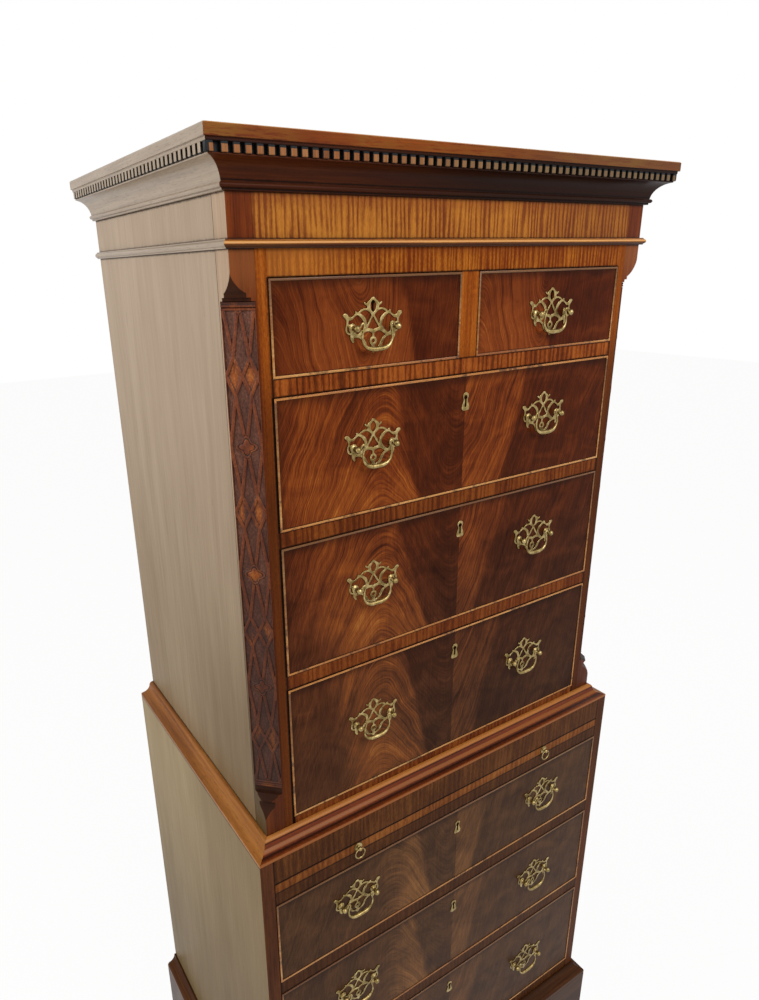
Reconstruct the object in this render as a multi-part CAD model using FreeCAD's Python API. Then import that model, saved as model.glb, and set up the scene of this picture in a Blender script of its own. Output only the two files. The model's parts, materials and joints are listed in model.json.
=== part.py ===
import FreeCAD, Part
import math
import os
from FreeCAD import Vector

# A mahogany chest on chest: a chest of drawers standing on a wider chest of drawers.
#
# The upper case has canted front corners with blind frets and lamb's-tongue stops, two short
# and three long drawers, an astragal bead, a frieze and a dentil cornice. The lower case has a
# brushing slide over three long drawers and stands on bracket feet. Every drawer is dovetailed,
# edged with cockbeads and fitted with pierced brass plates, swan-neck bails and a lock.
#
# Frame: millimetres, +Z up, the front faces -Y. The origin is on the floor, in the middle of
# the width and of the overall depth.

# ---- the two cases -----------------------------------------------------------------------
UPPER_WIDTH = 720.0
UPPER_DEPTH = 505.0
CASE_STEP = 27.0                  # the lower case stands out this much in front and at the sides
UPPER_SIDE = 18.0                 # thickness of the side boards
LOWER_SIDE = 21.5
BOARD = 18.0                      # top and bottom boards
BACK_BOARD = 10.0
BACK_LIP = 9.0                    # what the side boards leave outside the back boards
BACK_PLANKS = 4
RAIL_DEPTH = 45.0
PANEL = 7.0                       # dust panels

# ---- heights, from the floor up ------------------------------------------------------------
FOOT_HEIGHT = 134.0
BASE_HEIGHT = 32.0
LOWER_BOTTOM_RAIL = 24.0          # what shows above the base moulding
LOWER_DRAWERS = (220.0, 186.0, 161.0)
LOWER_RAIL = 26.0
SLIDE_RAIL = 23.0                 # the rail under the brushing slide
SLIDE_SPACE = 18.5
LOWER_TOP_RAIL = 43.5
WAIST_HEIGHT = 24.0
UPPER_BOTTOM_RAIL = 13.0          # what shows above the waist moulding
UPPER_DRAWERS = (223.0, 193.0, 175.0, 116.0)
UPPER_RAIL = 22.0
UPPER_TOP_RAIL = 31.0
ASTRAGAL_HEIGHT = 10.0
FRIEZE_HEIGHT = 48.0
CORNICE_HEIGHT = 58.5

# ---- mouldings ---------------------------------------------------------------------------
# A profile's steps are shares of its projection and of its height. Two values end a line, and
# four give an arc through a point to its end.
BASE_PROJECTION = 22.0
BASE_PROFILE = [(0, 0), (1, 0), (1, 0.22), (0.95, 0.38, 0.68, 0.48), (0.39, 0.61, 0.18, 0.91),
                (0.18, 1), (0, 1)]
WAIST_PROFILE = [(0, 0), (1, 0), (1, 0.19), (0.74, 0.25), (0.43, 0.44, 0.30, 0.79),
                 (0.22, 0.94, 0.09, 1), (0, 1)]
ASTRAGAL_PROJECTION = 7.5
ASTRAGAL_PROFILE = [(0, 0), (0.6, 0), (0.6, 0.15), (1, 0.5, 0.6, 0.85), (0.6, 1), (0, 1)]
CORNICE_PROJECTION = 33.5
COVE_PROJECTION = 28.0            # the cornice below its dentils
COVE_PROFILE = [(0, 0), (0.18, 0), (0.18, 0.08), (0.32, 0.16, 0.20, 0.25), (0.21, 0.28),
                (0.43, 0.69, 1, 0.95), (1, 1)]
CORNICE_FILLET = (2.5, 3.5)       # how far back and how high the fillet over the dentils is
CORNICE_ARRIS = 1.5
DENTIL_LOW = 32.0                 # the dentil course above the cornice's lower edge
DENTIL_HEIGHT = 10.0
DENTIL_BACK = 22.0                # how far the back of the course stands from the frieze
DENTIL_GROUND = 24.5
DENTIL_FACE = 30.5
DENTIL_WIDTH = 8.4
DENTIL_PITCH = 13.45

# ---- canted corners ------------------------------------------------------------------------
POST_WIDTH = 32.0
POST_DEPTH = 34.0
CANT = 31.0                       # how far the cant cuts back each face
STILE_DEPTH = 20.0                # the strip between post and drawers
STILE_WIDTH = 15.0
FRET_LOW = 74.0                   # the fret above the upper case's visible foot
FRET_HEIGHT = 687.0
FRET_RELIEF = 1.6
FRET_BAYS = 4
FRET_STRAP = 5.0
FRET_EDGE = 1.6                   # border left at each side
FRET_CROSSING = 0.37              # share of a bay where the straps cross
ROSETTE = 9.0                     # mean radius of the quatrefoils
ROSETTE_SWELL = 0.24
ROSETTE_POINTS = 8
TONGUE_LOW = 54.0                 # length of the stop below the fret
TONGUE_FOOT = [(0, 0), (0.10, 0.22, 0.42, 0.41), (0.60, 0.52, 0.50, 0.65), (0.38, 0.69),
               (0.72, 0.75), (0.80, 0.81), (1, 0.81)]
TONGUE_HIGH = 36.0
TONGUE_HEAD = [(1, 0), (0.84, 0), (0.84, 0.08), (0.66, 0.08), (0.66, 0.17), (0.30, 0.33, 0, 1)]

# ---- drawers -----------------------------------------------------------------------------
FRONT = 20.0
LAP = 8.0                         # wood left in front of the dovetails, and depth of the beads
BEAD = 3.2
BEAD_PROUD = 1.8
BEAD_ROUND = 1.0                  # what the bead's nose loses at each arris
LINING = 9.0                      # drawer sides and backs
BOTTOM = 6.0
BOTTOM_RISE = 7.0                 # drawer bottom above the lower edge of the sides
GROOVE = 3.0
SIDE_DROP = 7.0                   # drawer sides end this far below the top of the front
BACK_DROP = 5.0
SIDE_GAP = 0.6                    # running clearances of a drawer in its opening
TOP_GAP = 1.0
FLOOR_GAP = 0.4
REAR_GAP = 14.0
TAIL_PITCH = 60.0
TAIL_SHARE = 0.36                 # half the width of a tail, as a share of the pitch
TAIL_SPLAY = 3.0
MUNTIN = 31.0                     # divider between the two short drawers
RUNNER_REACH = 13.0               # how far a runner reaches under the drawer
LOWER_RUNNER = 21.0
GUIDE_HEIGHT = 20.0
STOP_SIZE = (50.0, 24.0, 5.0)
STOP_INSET = 180.0

# ---- brass -------------------------------------------------------------------------------
POST_HALF = 32.0                  # half the distance between the two posts of a handle
PLATE = 1.5
PIVOT = 11.0                      # bail pivot in front of the drawer front
POST_BASE = 5.2
POST_FOOT = 2.6                   # run of the flare from the foot to the neck
POST_NECK = 2.9
POST_BALL = 4.7
POST_TIP = 2.4
SHANK = 1.9                       # half the side of the square shank
SHANK_GAP = 0.3
NUT = 10.0
NUT_THICKNESS = 3.0
PIN = 1.25
PIN_GAP = 0.5                     # round the bail's pins, and past their ends
PIN_DEPTH = 3.6                   # how far the bail's pins enter the ball heads
GRIP = 3.2
ARM = 1.4
SIDES = 6                         # flats of the turned and cast brass
SHANK_SIDES = 4                   # flats of the shanks and of the bores
BAIL_SIDES = 5
UPPER_HANDLE_X = 165.0
LOWER_HANDLE_X = 217.5
HANDLE_RISE = (6.0, 8.0, 7.0, -6.0)      # handle centre above the opening's centre, upper case
LOWER_HANDLE_RISE = (-3.0, 4.0, 9.0)
ESCUTCHEON_THICKNESS = 1.2
KEY_DROP = 40.0                   # keyhole below the top of the opening
SHORT_KEY_RISE = 26.0             # keyhole above the handle's centre on a short drawer
LOCK_WIDTH = 46.0
LOCK_BELOW = 20.0                 # the lock below its keyhole
LOCK_DEPTH = 9.0
SLIDE_EDGE = 16.0                 # the lipping along the front of the slide
SLIDE_PULL_X = 214.0
RING = 9.0
RING_WIRE = 1.1
RING_BORE = 1.9
RING_LIFT = 0.3                   # top of the ring above the middle of its bore
RING_BALL = 3.4
RING_STAND = 5.6
RING_STATIONS = 12
ROSE = 7.6
ROSE_THICKNESS = 1.0
SCREW = 1.6
SCREW_GAP = 0.1
SCREW_LENGTH = 14.0

# ---- feet --------------------------------------------------------------------------------
FOOT_LENGTH = 168.0
FOOT_THICKNESS = BASE_PROJECTION
BRACKET = [(0, 0), (0.38, 0), (0.40, 0.30, 0.50, 0.50), (0.46, 0.58),
           (0.60, 0.78, 0.84, 0.84), (1, 0.88), (1, 1), (0, 1)]
BLOCK = 62.0
BRACE = 87.0                      # the plain board behind each back foot

CUT_OVER = 1.0                    # how far a cutter reaches past what it cuts

# ---- levels and faces that follow ----------------------------------------------------------
LOWER_WIDTH = UPPER_WIDTH + 2 * CASE_STEP
LOWER_DEPTH = UPPER_DEPTH + CASE_STEP
BACK_Y = (LOWER_DEPTH + BASE_PROJECTION) / 2
LOWER_FRONT_Y = BACK_Y - LOWER_DEPTH
UPPER_FRONT_Y = BACK_Y - UPPER_DEPTH
BACK_FACE_Y = BACK_Y - BACK_BOARD
UPPER_HALF = UPPER_WIDTH / 2
LOWER_HALF = LOWER_WIDTH / 2
UPPER_INNER = UPPER_HALF - UPPER_SIDE
LOWER_INNER = LOWER_HALF - LOWER_SIDE
UPPER_OPENING = UPPER_HALF - POST_WIDTH - STILE_WIDTH


def stack(bottom, heights, rails):
    """Bottom and top of each opening in a column, with a rail of the given height above each."""
    levels = []
    for height, rail in zip(heights, rails):
        levels.append((bottom, bottom + height))
        bottom += height + rail
    return levels


CASE_BOTTOM_Z = FOOT_HEIGHT
BASE_TOP_Z = CASE_BOTTOM_Z + BASE_HEIGHT
LOWER_LEVELS = stack(BASE_TOP_Z + LOWER_BOTTOM_RAIL, LOWER_DRAWERS,
                     (LOWER_RAIL, LOWER_RAIL, SLIDE_RAIL))
SLIDE_Z = LOWER_LEVELS[-1][1] + SLIDE_RAIL
LOWER_TOP_Z = SLIDE_Z + SLIDE_SPACE + LOWER_TOP_RAIL
UPPER_SILL_Z = LOWER_TOP_Z + WAIST_HEIGHT
UPPER_LEVELS = stack(UPPER_SILL_Z + UPPER_BOTTOM_RAIL, UPPER_DRAWERS,
                     (UPPER_RAIL, UPPER_RAIL, UPPER_RAIL, UPPER_TOP_RAIL))
ASTRAGAL_Z = UPPER_LEVELS[-1][1] + UPPER_TOP_RAIL
FRIEZE_Z = ASTRAGAL_Z + ASTRAGAL_HEIGHT
CORNICE_Z = FRIEZE_Z + FRIEZE_HEIGHT
TOP_Z = CORNICE_Z + CORNICE_HEIGHT
CARCASE_TOP_Z = TOP_Z - BOARD


# ---- general helpers -----------------------------------------------------------------------
def box(x0, x1, y0, y1, z0, z1):
    """A box between two corners, given side by side."""
    return Part.makeBox(x1 - x0, y1 - y0, z1 - z0, Vector(x0, y0, z0))


def prism(points, depth):
    """A straight prism on a closed polygon of vectors."""
    return Part.Face(Part.makePolygon(points + points[:1])).extrude(depth)


def outline(steps, place):
    """A closed face. A step (u, v) is a line to that point, (um, vm, u, v) an arc through um, vm."""
    edges = []
    here = place(*steps[0])
    for step in list(steps[1:]) + [steps[0]]:
        there = place(*step[-2:])
        if len(step) == 4:
            edges.append(Part.Arc(here, place(*step[:2]), there).toShape())
        elif there.distanceToPoint(here) > 1e-6:
            edges.append(Part.makeLine(here, there))
        here = there
    return Part.Face(Part.Wire(edges))


def mirrored_steps(steps):
    """The other half of an outline that starts and ends on the line u = 0."""
    back = []
    points = [step[-2:] for step in steps]
    for index in range(len(steps) - 1, 0, -1):
        u, v = points[index - 1]
        if len(steps[index]) == 4:
            um, vm = steps[index][:2]
            back.append((-um, vm, -u, v))
        else:
            back.append((-u, v))
    return list(steps) + back


def flipped(steps):
    """The same closed outline on the other side of the line u = 0."""
    return [tuple(-value if index % 2 == 0 else value for index, value in enumerate(step))
            for step in steps]


def scaled(profile, reach, height):
    """A profile given in shares, at its size."""
    return [tuple(value * (height if index % 2 else reach) for index, value in enumerate(step))
            for step in profile]


def raised(steps, height):
    """The steps of an outline, moved up."""
    return [tuple(value + height * (index % 2) for index, value in enumerate(step))
            for step in steps]


def mirrored(shape):
    """The shape on the other side of the middle of the chest."""
    return shape.mirror(Vector(0, 0, 0), Vector(1, 0, 0))


def pair(shape):
    return [shape, mirrored(shape)]


def polygon_ring(sides, radius):
    """The corners of a regular polygon whose flats stand at the radius, one of them facing +u."""
    corner = radius / math.cos(math.pi / sides)
    turns = [2 * math.pi * (side + 0.5) / sides for side in range(sides)]
    return [(corner * math.cos(turn), corner * math.sin(turn)) for turn in turns]


def bar(sides, radius, x, z, y0, y1):
    """A straight bar along Y with flats."""
    ring = [Vector(x + u, y0, z + v) for u, v in polygon_ring(sides, radius)]
    return prism(ring, Vector(0, y1 - y0, 0))


def cross_bore(radius, x0, x1, y):
    """The bore along X that a pin or a ring turns in."""
    ring = [Vector(x0, y + u, v) for u, v in polygon_ring(SHANK_SIDES, radius)]
    return prism(ring, Vector(x1 - x0, 0, 0))


def flat_face(ring):
    return Part.Face(Part.makePolygon(ring + ring[:1]))


def skinned(rings, closed=False):
    """A solid with a skin of flat triangles over rings that have equally many corners."""
    faces = [] if closed else [flat_face(rings[0]), flat_face(rings[-1])]
    for one, two in zip(rings, rings[1:] + (rings[:1] if closed else [])):
        for index in range(len(one)):
            after = (index + 1) % len(one)
            faces.append(flat_face([one[index], one[after], two[after]]))
            faces.append(flat_face([one[index], two[after], two[index]]))
    shell = Part.makeShell(faces)
    shell.sewShape()
    solid = Part.makeSolid(shell)
    if solid.Volume < 0:
        solid.reverse()
    return solid


def turned(profile):
    """A turned shape round the Y axis, with flats. The profile is (radius, y) from end to end."""
    rings = [[Vector(u, y, v) for u, v in polygon_ring(SIDES, radius)] for radius, y in profile]
    return skinned(rings).removeSplitter()


def write(node, solids):
    """One STEP file with each solid kept separate."""
    Part.makeCompound(solids).exportStep(f"parts/{node}.step")


def mitred_run(steps, half_width, front_y, base_z):
    """A moulding round the front and both sides, mitred at the front corners.

    The outline's u is the projection from the case, and its v the height above base_z.
    """
    reach = max(step[-2] for step in steps)
    depth = min(step[-2] for step in steps)
    high = max(step[-1] for step in steps)

    def wedge(corners):
        ring = [Vector(x, y, base_z - CUT_OVER) for x, y in corners]
        return prism(ring, Vector(0, 0, high + 2 * CUT_OVER))

    outer, inner = half_width + reach, half_width + depth
    front_out, front_in = front_y - reach, front_y - depth
    front = outline(steps, lambda u, v: Vector(-outer, front_y - u, base_z + v))
    front = front.extrude(Vector(2 * outer, 0, 0))
    front = front.common(wedge([(-outer, front_out), (outer, front_out),
                                (inner, front_in), (-inner, front_in)]))
    side = outline(steps, lambda u, v: Vector(half_width + u, front_out, base_z + v))
    side = side.extrude(Vector(0, BACK_Y - front_out, 0))
    side = side.common(wedge([(outer, front_out), (outer, BACK_Y), (inner, BACK_Y),
                              (inner, front_in)]))
    return front.Solids + side.Solids + mirrored(side).Solids


def tube(stations, sides, closed=False):
    """A bar with flats through stations (x, z, radius) in the plane y = 0."""
    rings = []
    last = len(stations) - 1
    for index, (x, z, radius) in enumerate(stations):
        before = stations[index - 1] if index or closed else stations[0]
        after = stations[(index + 1) % len(stations)] if index < last or closed else stations[last]
        along = Vector(after[0] - before[0], 0, after[1] - before[1]).normalize()
        across = along.cross(Vector(0, 1, 0))
        rings.append([Vector(x, v, z) + across * u for u, v in polygon_ring(sides, radius)])
    return skinned(rings, closed)


# ---- case woodwork ---------------------------------------------------------------------------
def side_board(half, thickness, front_y, z0, z1):
    """A side board with a rebate for the back boards."""
    board = box(half - thickness, half, front_y, BACK_Y, z0, z1)
    return board.cut(box(half - thickness, half - BACK_LIP, BACK_FACE_Y, BACK_Y, z0, z1))


def back_planks(half, z0, z1):
    """Upright back boards between the lips of the side boards."""
    left = BACK_LIP - half
    plank = 2 * (half - BACK_LIP) / BACK_PLANKS
    return [box(left + plank * index, left + plank * (index + 1), BACK_FACE_Y, BACK_Y, z0, z1)
            for index in range(BACK_PLANKS)]


def upper_rail(z0, z1):
    """A rail of the upper case, shouldered behind the stile strips and the corner posts."""
    steps = [(UPPER_OPENING, 0), (UPPER_OPENING, STILE_DEPTH),
             (UPPER_OPENING + STILE_WIDTH, STILE_DEPTH), (UPPER_OPENING + STILE_WIDTH, POST_DEPTH),
             (UPPER_INNER, POST_DEPTH), (UPPER_INNER, RAIL_DEPTH)]
    ring = steps + [(-x, y) for x, y in reversed(steps)]
    points = [Vector(x, UPPER_FRONT_Y + y, z0) for x, y in ring]
    return prism(points, Vector(0, 0, z1 - z0))


def tongue_cutter():
    """What the cant and its two stops take off a corner, with the corner's edge on the Z axis.

    Seen from the side, the cut runs in from the edge to the depth of the cant. Below the fret it
    comes out over a tongue and a hollow; above it, it sweeps out to the edge.
    """
    depth = CANT / math.sqrt(2)
    low = UPPER_SILL_Z + FRET_LOW
    high = low + FRET_HEIGHT
    foot = raised(scaled(TONGUE_FOOT, depth, TONGUE_LOW), low - TONGUE_LOW)
    head = raised(scaled(TONGUE_HEAD, depth, TONGUE_HIGH), high)
    steps = [(-CUT_OVER, low - TONGUE_LOW)] + foot + head + [(-CUT_OVER, high + TONGUE_HIGH)]
    face = outline(steps, lambda u, v: Vector(-CANT, u, v))
    return face.extrude(Vector(2 * CANT, 0, 0))


def at_corner(shape):
    """Turns a shape that faces -Y to face out of the right front corner of the upper case."""
    placed = shape.copy()
    placed.rotate(Vector(0, 0, 0), Vector(0, 0, 1), 45)
    placed.translate(Vector(UPPER_HALF, UPPER_FRONT_Y, 0))
    return placed


def corner_post():
    post = box(UPPER_HALF - POST_WIDTH, UPPER_HALF, UPPER_FRONT_Y, UPPER_FRONT_Y + POST_DEPTH,
               LOWER_TOP_Z, CARCASE_TOP_Z)
    return post.cut(at_corner(tongue_cutter()))


def strap(path):
    """A fret strap as wide as FRET_STRAP across, on a path of (u, v) points that climbs."""
    left = [Vector(u - FRET_STRAP / 2, 0, v) for u, v in path]
    right = [Vector(u + FRET_STRAP / 2, 0, v) for u, v in reversed(path)]
    return prism(left + right, Vector(0, -FRET_RELIEF, 0))


def rosette(v):
    """A quatrefoil on the middle of the fret: a circle whose radius swells four times."""
    points = []
    for step in range(ROSETTE_POINTS):
        turn = 2 * math.pi * step / ROSETTE_POINTS
        radius = ROSETTE * (1 + ROSETTE_SWELL * math.cos(4 * turn))
        points.append(Vector(radius * math.cos(turn), 0, v + radius * math.sin(turn)))
    return prism(points, Vector(0, -FRET_RELIEF, 0))


def corner_fret():
    """The blind fret of one corner: steep straps that cross and part into paired diamonds."""
    half = CANT / math.sqrt(2) - FRET_EDGE
    bay = FRET_HEIGHT / FRET_BAYS
    inside, outside = [(0, 0)], [(half, 0)]
    for index in range(FRET_BAYS):
        for share, near, far in ((FRET_CROSSING, half / 2, half / 2), (0.5, half, 0),
                                 (1 - FRET_CROSSING, half / 2, half / 2), (1.0, 0, half)):
            inside.append((near, (index + share) * bay))
            outside.append((far, (index + share) * bay))
    pieces = [strap(path) for path in (inside, outside, flipped(inside), flipped(outside))]
    pieces += [rosette(index * bay) for index in range(FRET_BAYS + 1)]
    pieces += [box(-half, half, -FRET_RELIEF, 0, z, z + FRET_STRAP)
               for z in (0, FRET_HEIGHT - FRET_STRAP)]
    lattice = pieces[0].fuse(pieces[1:])
    lattice = lattice.common(box(-half, half, -2 * FRET_RELIEF, 0, 0, FRET_HEIGHT))
    lattice = lattice.removeSplitter()
    lattice.translate(Vector(0, CANT / math.sqrt(2), UPPER_SILL_Z + FRET_LOW))
    return at_corner(lattice).Solids[0]


def upper_case():
    write("upper_sides", pair(side_board(UPPER_HALF, UPPER_SIDE, UPPER_FRONT_Y + POST_DEPTH,
                                         LOWER_TOP_Z, CARCASE_TOP_Z)))
    write("corner_posts", pair(corner_post()))
    write("corner_frets", pair(corner_fret()))

    rail_back = UPPER_FRONT_Y + RAIL_DEPTH
    floor = box(-UPPER_INNER, UPPER_INNER, rail_back, BACK_FACE_Y, LOWER_TOP_Z,
                LOWER_TOP_Z + BOARD)
    top = box(-UPPER_HALF, UPPER_HALF, UPPER_FRONT_Y, BACK_Y, CARCASE_TOP_Z, TOP_Z)
    write("upper_boards", [floor, top])

    sills = [LOWER_TOP_Z] + [level[1] for level in UPPER_LEVELS[:-1]]
    rails = [upper_rail(sill, level[0]) for sill, level in zip(sills, UPPER_LEVELS)]
    rails.append(upper_rail(UPPER_LEVELS[-1][1], FRIEZE_Z))
    short_z0, short_z1 = UPPER_LEVELS[-1]
    muntin = box(-MUNTIN / 2, MUNTIN / 2, UPPER_FRONT_Y, rail_back, short_z0, short_z1)
    strip = box(UPPER_OPENING, UPPER_OPENING + STILE_WIDTH, UPPER_FRONT_Y,
                UPPER_FRONT_Y + STILE_DEPTH, LOWER_TOP_Z, FRIEZE_Z)
    write("upper_rails", rails + [muntin] + pair(strip))

    write("upper_runners", upper_runners(sills, rail_back))


def upper_runners(sills, rail_back):
    """Runners, drawer guides, dust panels and drawer stops of the upper case."""
    pieces = []
    inner = UPPER_OPENING - RUNNER_REACH
    centre = MUNTIN / 2 + RUNNER_REACH
    for index, (sill, (z0, z1)) in enumerate(zip(sills, UPPER_LEVELS)):
        low = sill + BOARD if index == 0 else sill
        pieces += pair(box(inner, UPPER_INNER, rail_back, BACK_FACE_Y, low, z0))
        pieces += pair(box(UPPER_OPENING, UPPER_INNER, rail_back, BACK_FACE_Y, z0,
                           z0 + GUIDE_HEIGHT))
        stop_y = UPPER_FRONT_Y + FRONT
        if index == len(UPPER_LEVELS) - 1:
            pieces.append(box(-centre, centre, rail_back, BACK_FACE_Y, low, z0))
            pieces.append(box(-MUNTIN / 2, MUNTIN / 2, rail_back, BACK_FACE_Y, z0,
                              z0 + GUIDE_HEIGHT))
            pieces += pair(box(centre, inner, rail_back, BACK_FACE_Y, low, low + PANEL))
            pieces += stops(UPPER_HANDLE_X, stop_y, z0)
        else:
            if index:
                pieces.append(box(-inner, inner, rail_back, BACK_FACE_Y, low, low + PANEL))
            pieces += stops(STOP_INSET, stop_y, z0)
    return pieces


def stops(x, y, z):
    """A pair of blocks that a drawer front meets when the drawer is shut."""
    width, depth, height = STOP_SIZE
    return pair(box(x - width / 2, x + width / 2, y, y + depth, z, z + height))


def lower_case():
    write("lower_sides", pair(side_board(LOWER_HALF, LOWER_SIDE, LOWER_FRONT_Y, CASE_BOTTOM_Z,
                                         LOWER_TOP_Z)))
    write("back_boards", back_planks(LOWER_HALF, CASE_BOTTOM_Z, LOWER_TOP_Z)
          + back_planks(UPPER_HALF, LOWER_TOP_Z, CARCASE_TOP_Z))
    rail_back = LOWER_FRONT_Y + RAIL_DEPTH
    boards = [box(-LOWER_INNER, LOWER_INNER, rail_back, BACK_FACE_Y, z, z + BOARD)
              for z in (CASE_BOTTOM_Z, LOWER_TOP_Z - BOARD)]
    write("lower_boards", boards)

    def rail(z0, z1):
        return box(-LOWER_INNER, LOWER_INNER, LOWER_FRONT_Y, rail_back, z0, z1)

    sills = [CASE_BOTTOM_Z] + [level[1] for level in LOWER_LEVELS]
    floors = [level[0] for level in LOWER_LEVELS] + [SLIDE_Z]
    rails = [rail(sill, floor) for sill, floor in zip(sills, floors)]
    rails.append(rail(SLIDE_Z + SLIDE_SPACE, LOWER_TOP_Z))
    write("lower_rails", rails)

    pieces = []
    inner = LOWER_INNER - LOWER_RUNNER
    for index, (sill, floor) in enumerate(zip(sills, floors)):
        low = sill + BOARD if index == 0 else sill
        pieces += pair(box(inner, LOWER_INNER, rail_back, BACK_FACE_Y, low, floor))
        if index:
            pieces.append(box(-inner, inner, rail_back, BACK_FACE_Y, low, low + PANEL))
        if floor != SLIDE_Z:
            pieces += stops(STOP_INSET, LOWER_FRONT_Y + FRONT, floor)
    kicker_z = SLIDE_Z + SLIDE_SPACE
    pieces += pair(box(inner, LOWER_INNER, rail_back, BACK_FACE_Y, kicker_z, LOWER_TOP_Z - BOARD))
    write("lower_runners", pieces)


# ---- mouldings -----------------------------------------------------------------------------
def mouldings():
    """Base, waist, astragal, frieze, cornice and dentils. In an outline u is the projection."""
    base = scaled(BASE_PROFILE, BASE_PROJECTION, BASE_HEIGHT)
    write("base_moulding", mitred_run(base, LOWER_HALF, LOWER_FRONT_Y, CASE_BOTTOM_Z))
    waist = scaled(WAIST_PROFILE, CASE_STEP, WAIST_HEIGHT)
    write("waist_moulding", mitred_run(waist, UPPER_HALF, UPPER_FRONT_Y, LOWER_TOP_Z))
    astragal = scaled(ASTRAGAL_PROFILE, ASTRAGAL_PROJECTION, ASTRAGAL_HEIGHT)
    write("astragal", mitred_run(astragal, UPPER_HALF, UPPER_FRONT_Y, ASTRAGAL_Z))

    post_inner = UPPER_HALF - POST_WIDTH
    write("frieze", [box(-post_inner, post_inner, UPPER_FRONT_Y, UPPER_FRONT_Y + BOARD,
                         FRIEZE_Z, CARCASE_TOP_Z)])

    slab = DENTIL_LOW + DENTIL_HEIGHT
    reach = CORNICE_PROJECTION
    back, high = CORNICE_FILLET
    cornice = scaled(COVE_PROFILE, COVE_PROJECTION, DENTIL_LOW)
    cornice += [(DENTIL_BACK, DENTIL_LOW), (DENTIL_BACK, slab), (reach - back, slab),
                (reach - back, slab + high), (reach, slab + high),
                (reach, CORNICE_HEIGHT - CORNICE_ARRIS), (reach - CORNICE_ARRIS, CORNICE_HEIGHT),
                (0, CORNICE_HEIGHT)]
    write("cornice", mitred_run(cornice, UPPER_HALF, UPPER_FRONT_Y, CORNICE_Z))
    write("dentils", dentils())


def comb(length, first):
    """The plan of a dentil course: teeth standing from a strip, from one end to the other."""
    points = [(0, DENTIL_BACK), (0, DENTIL_GROUND)]
    start = first
    while start + DENTIL_WIDTH < length:
        for along, out in ((start, DENTIL_GROUND), (start, DENTIL_FACE),
                           (start + DENTIL_WIDTH, DENTIL_FACE),
                           (start + DENTIL_WIDTH, DENTIL_GROUND)):
            points.append((along, out))
        start += DENTIL_PITCH
    return points + [(length, DENTIL_GROUND), (length, DENTIL_BACK)]


def dentils():
    """Three lengths of dentil course in the cornice's recess, with a block on each corner."""
    z = CORNICE_Z + DENTIL_LOW
    up = Vector(0, 0, DENTIL_HEIGHT)
    ground_half = UPPER_HALF + DENTIL_GROUND
    ground_front = UPPER_FRONT_Y - DENTIL_GROUND
    block = UPPER_HALF + DENTIL_FACE - DENTIL_WIDTH
    gap = DENTIL_PITCH - DENTIL_WIDTH
    clear = 2 * (block - gap)
    teeth = int((clear + gap) // DENTIL_PITCH)
    inset = (clear - (teeth * DENTIL_PITCH - gap)) / 2
    first = ground_half - block + gap + inset
    plan = comb(2 * ground_half, first)
    front = prism([Vector(along - ground_half, UPPER_FRONT_Y - out, z) for along, out in plan], up)
    corner = box(block, UPPER_HALF + DENTIL_FACE, UPPER_FRONT_Y - DENTIL_FACE,
                 UPPER_FRONT_Y - DENTIL_FACE + DENTIL_WIDTH, z, z + DENTIL_HEIGHT)
    front = front.fuse(pair(corner)).removeSplitter()
    start_y = UPPER_FRONT_Y - DENTIL_BACK
    first_y = UPPER_FRONT_Y - DENTIL_FACE + DENTIL_WIDTH + gap
    plan = comb(BACK_Y - start_y, first_y - start_y)
    side = prism([Vector(UPPER_HALF + out, start_y + along, z) for along, out in plan], up)
    return front.Solids + pair(side)


# ---- feet ----------------------------------------------------------------------------------
def feet():
    """Front feet of two mitred brackets, back feet of a bracket and a plain board, and blocks."""
    outer = LOWER_HALF + BASE_PROJECTION
    front = LOWER_FRONT_Y - BASE_PROJECTION
    thick = FOOT_THICKNESS
    bracket = scaled(BRACKET, FOOT_LENGTH, FOOT_HEIGHT)

    def mitre(corners):
        ring = [Vector(x, y, -CUT_OVER) for x, y in corners]
        return prism(ring, Vector(0, 0, FOOT_HEIGHT + 2 * CUT_OVER))

    facing = outline(bracket, lambda u, v: Vector(outer - u, front, v))
    facing = facing.extrude(Vector(0, thick, 0))
    facing = facing.common(mitre([(outer, front), (outer - FOOT_LENGTH, front),
                                  (outer - FOOT_LENGTH, front + thick),
                                  (outer - thick, front + thick)]))
    cheek = outline(bracket, lambda u, v: Vector(outer, front + u, v))
    cheek = cheek.extrude(Vector(-thick, 0, 0))
    cheek = cheek.common(mitre([(outer, front), (outer, front + FOOT_LENGTH),
                                (outer - thick, front + FOOT_LENGTH),
                                (outer - thick, front + thick)]))
    rear = outline(bracket, lambda u, v: Vector(outer, BACK_Y - u, v))
    rear = rear.extrude(Vector(-thick, 0, 0))
    inside = outer - thick
    brace = box(inside - BRACE, inside, BACK_Y - BOARD, BACK_Y, 0, FOOT_HEIGHT)
    blocks = [box(inside - BLOCK, inside, front + thick, front + thick + BLOCK, 0, FOOT_HEIGHT),
              box(inside - BLOCK, inside, BACK_Y - BOARD - BLOCK, BACK_Y - BOARD, 0, FOOT_HEIGHT)]
    solids = []
    for shape in facing.Solids + cheek.Solids + [rear, brace] + blocks:
        solids += pair(shape)
    write("bracket_feet", solids)


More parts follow.
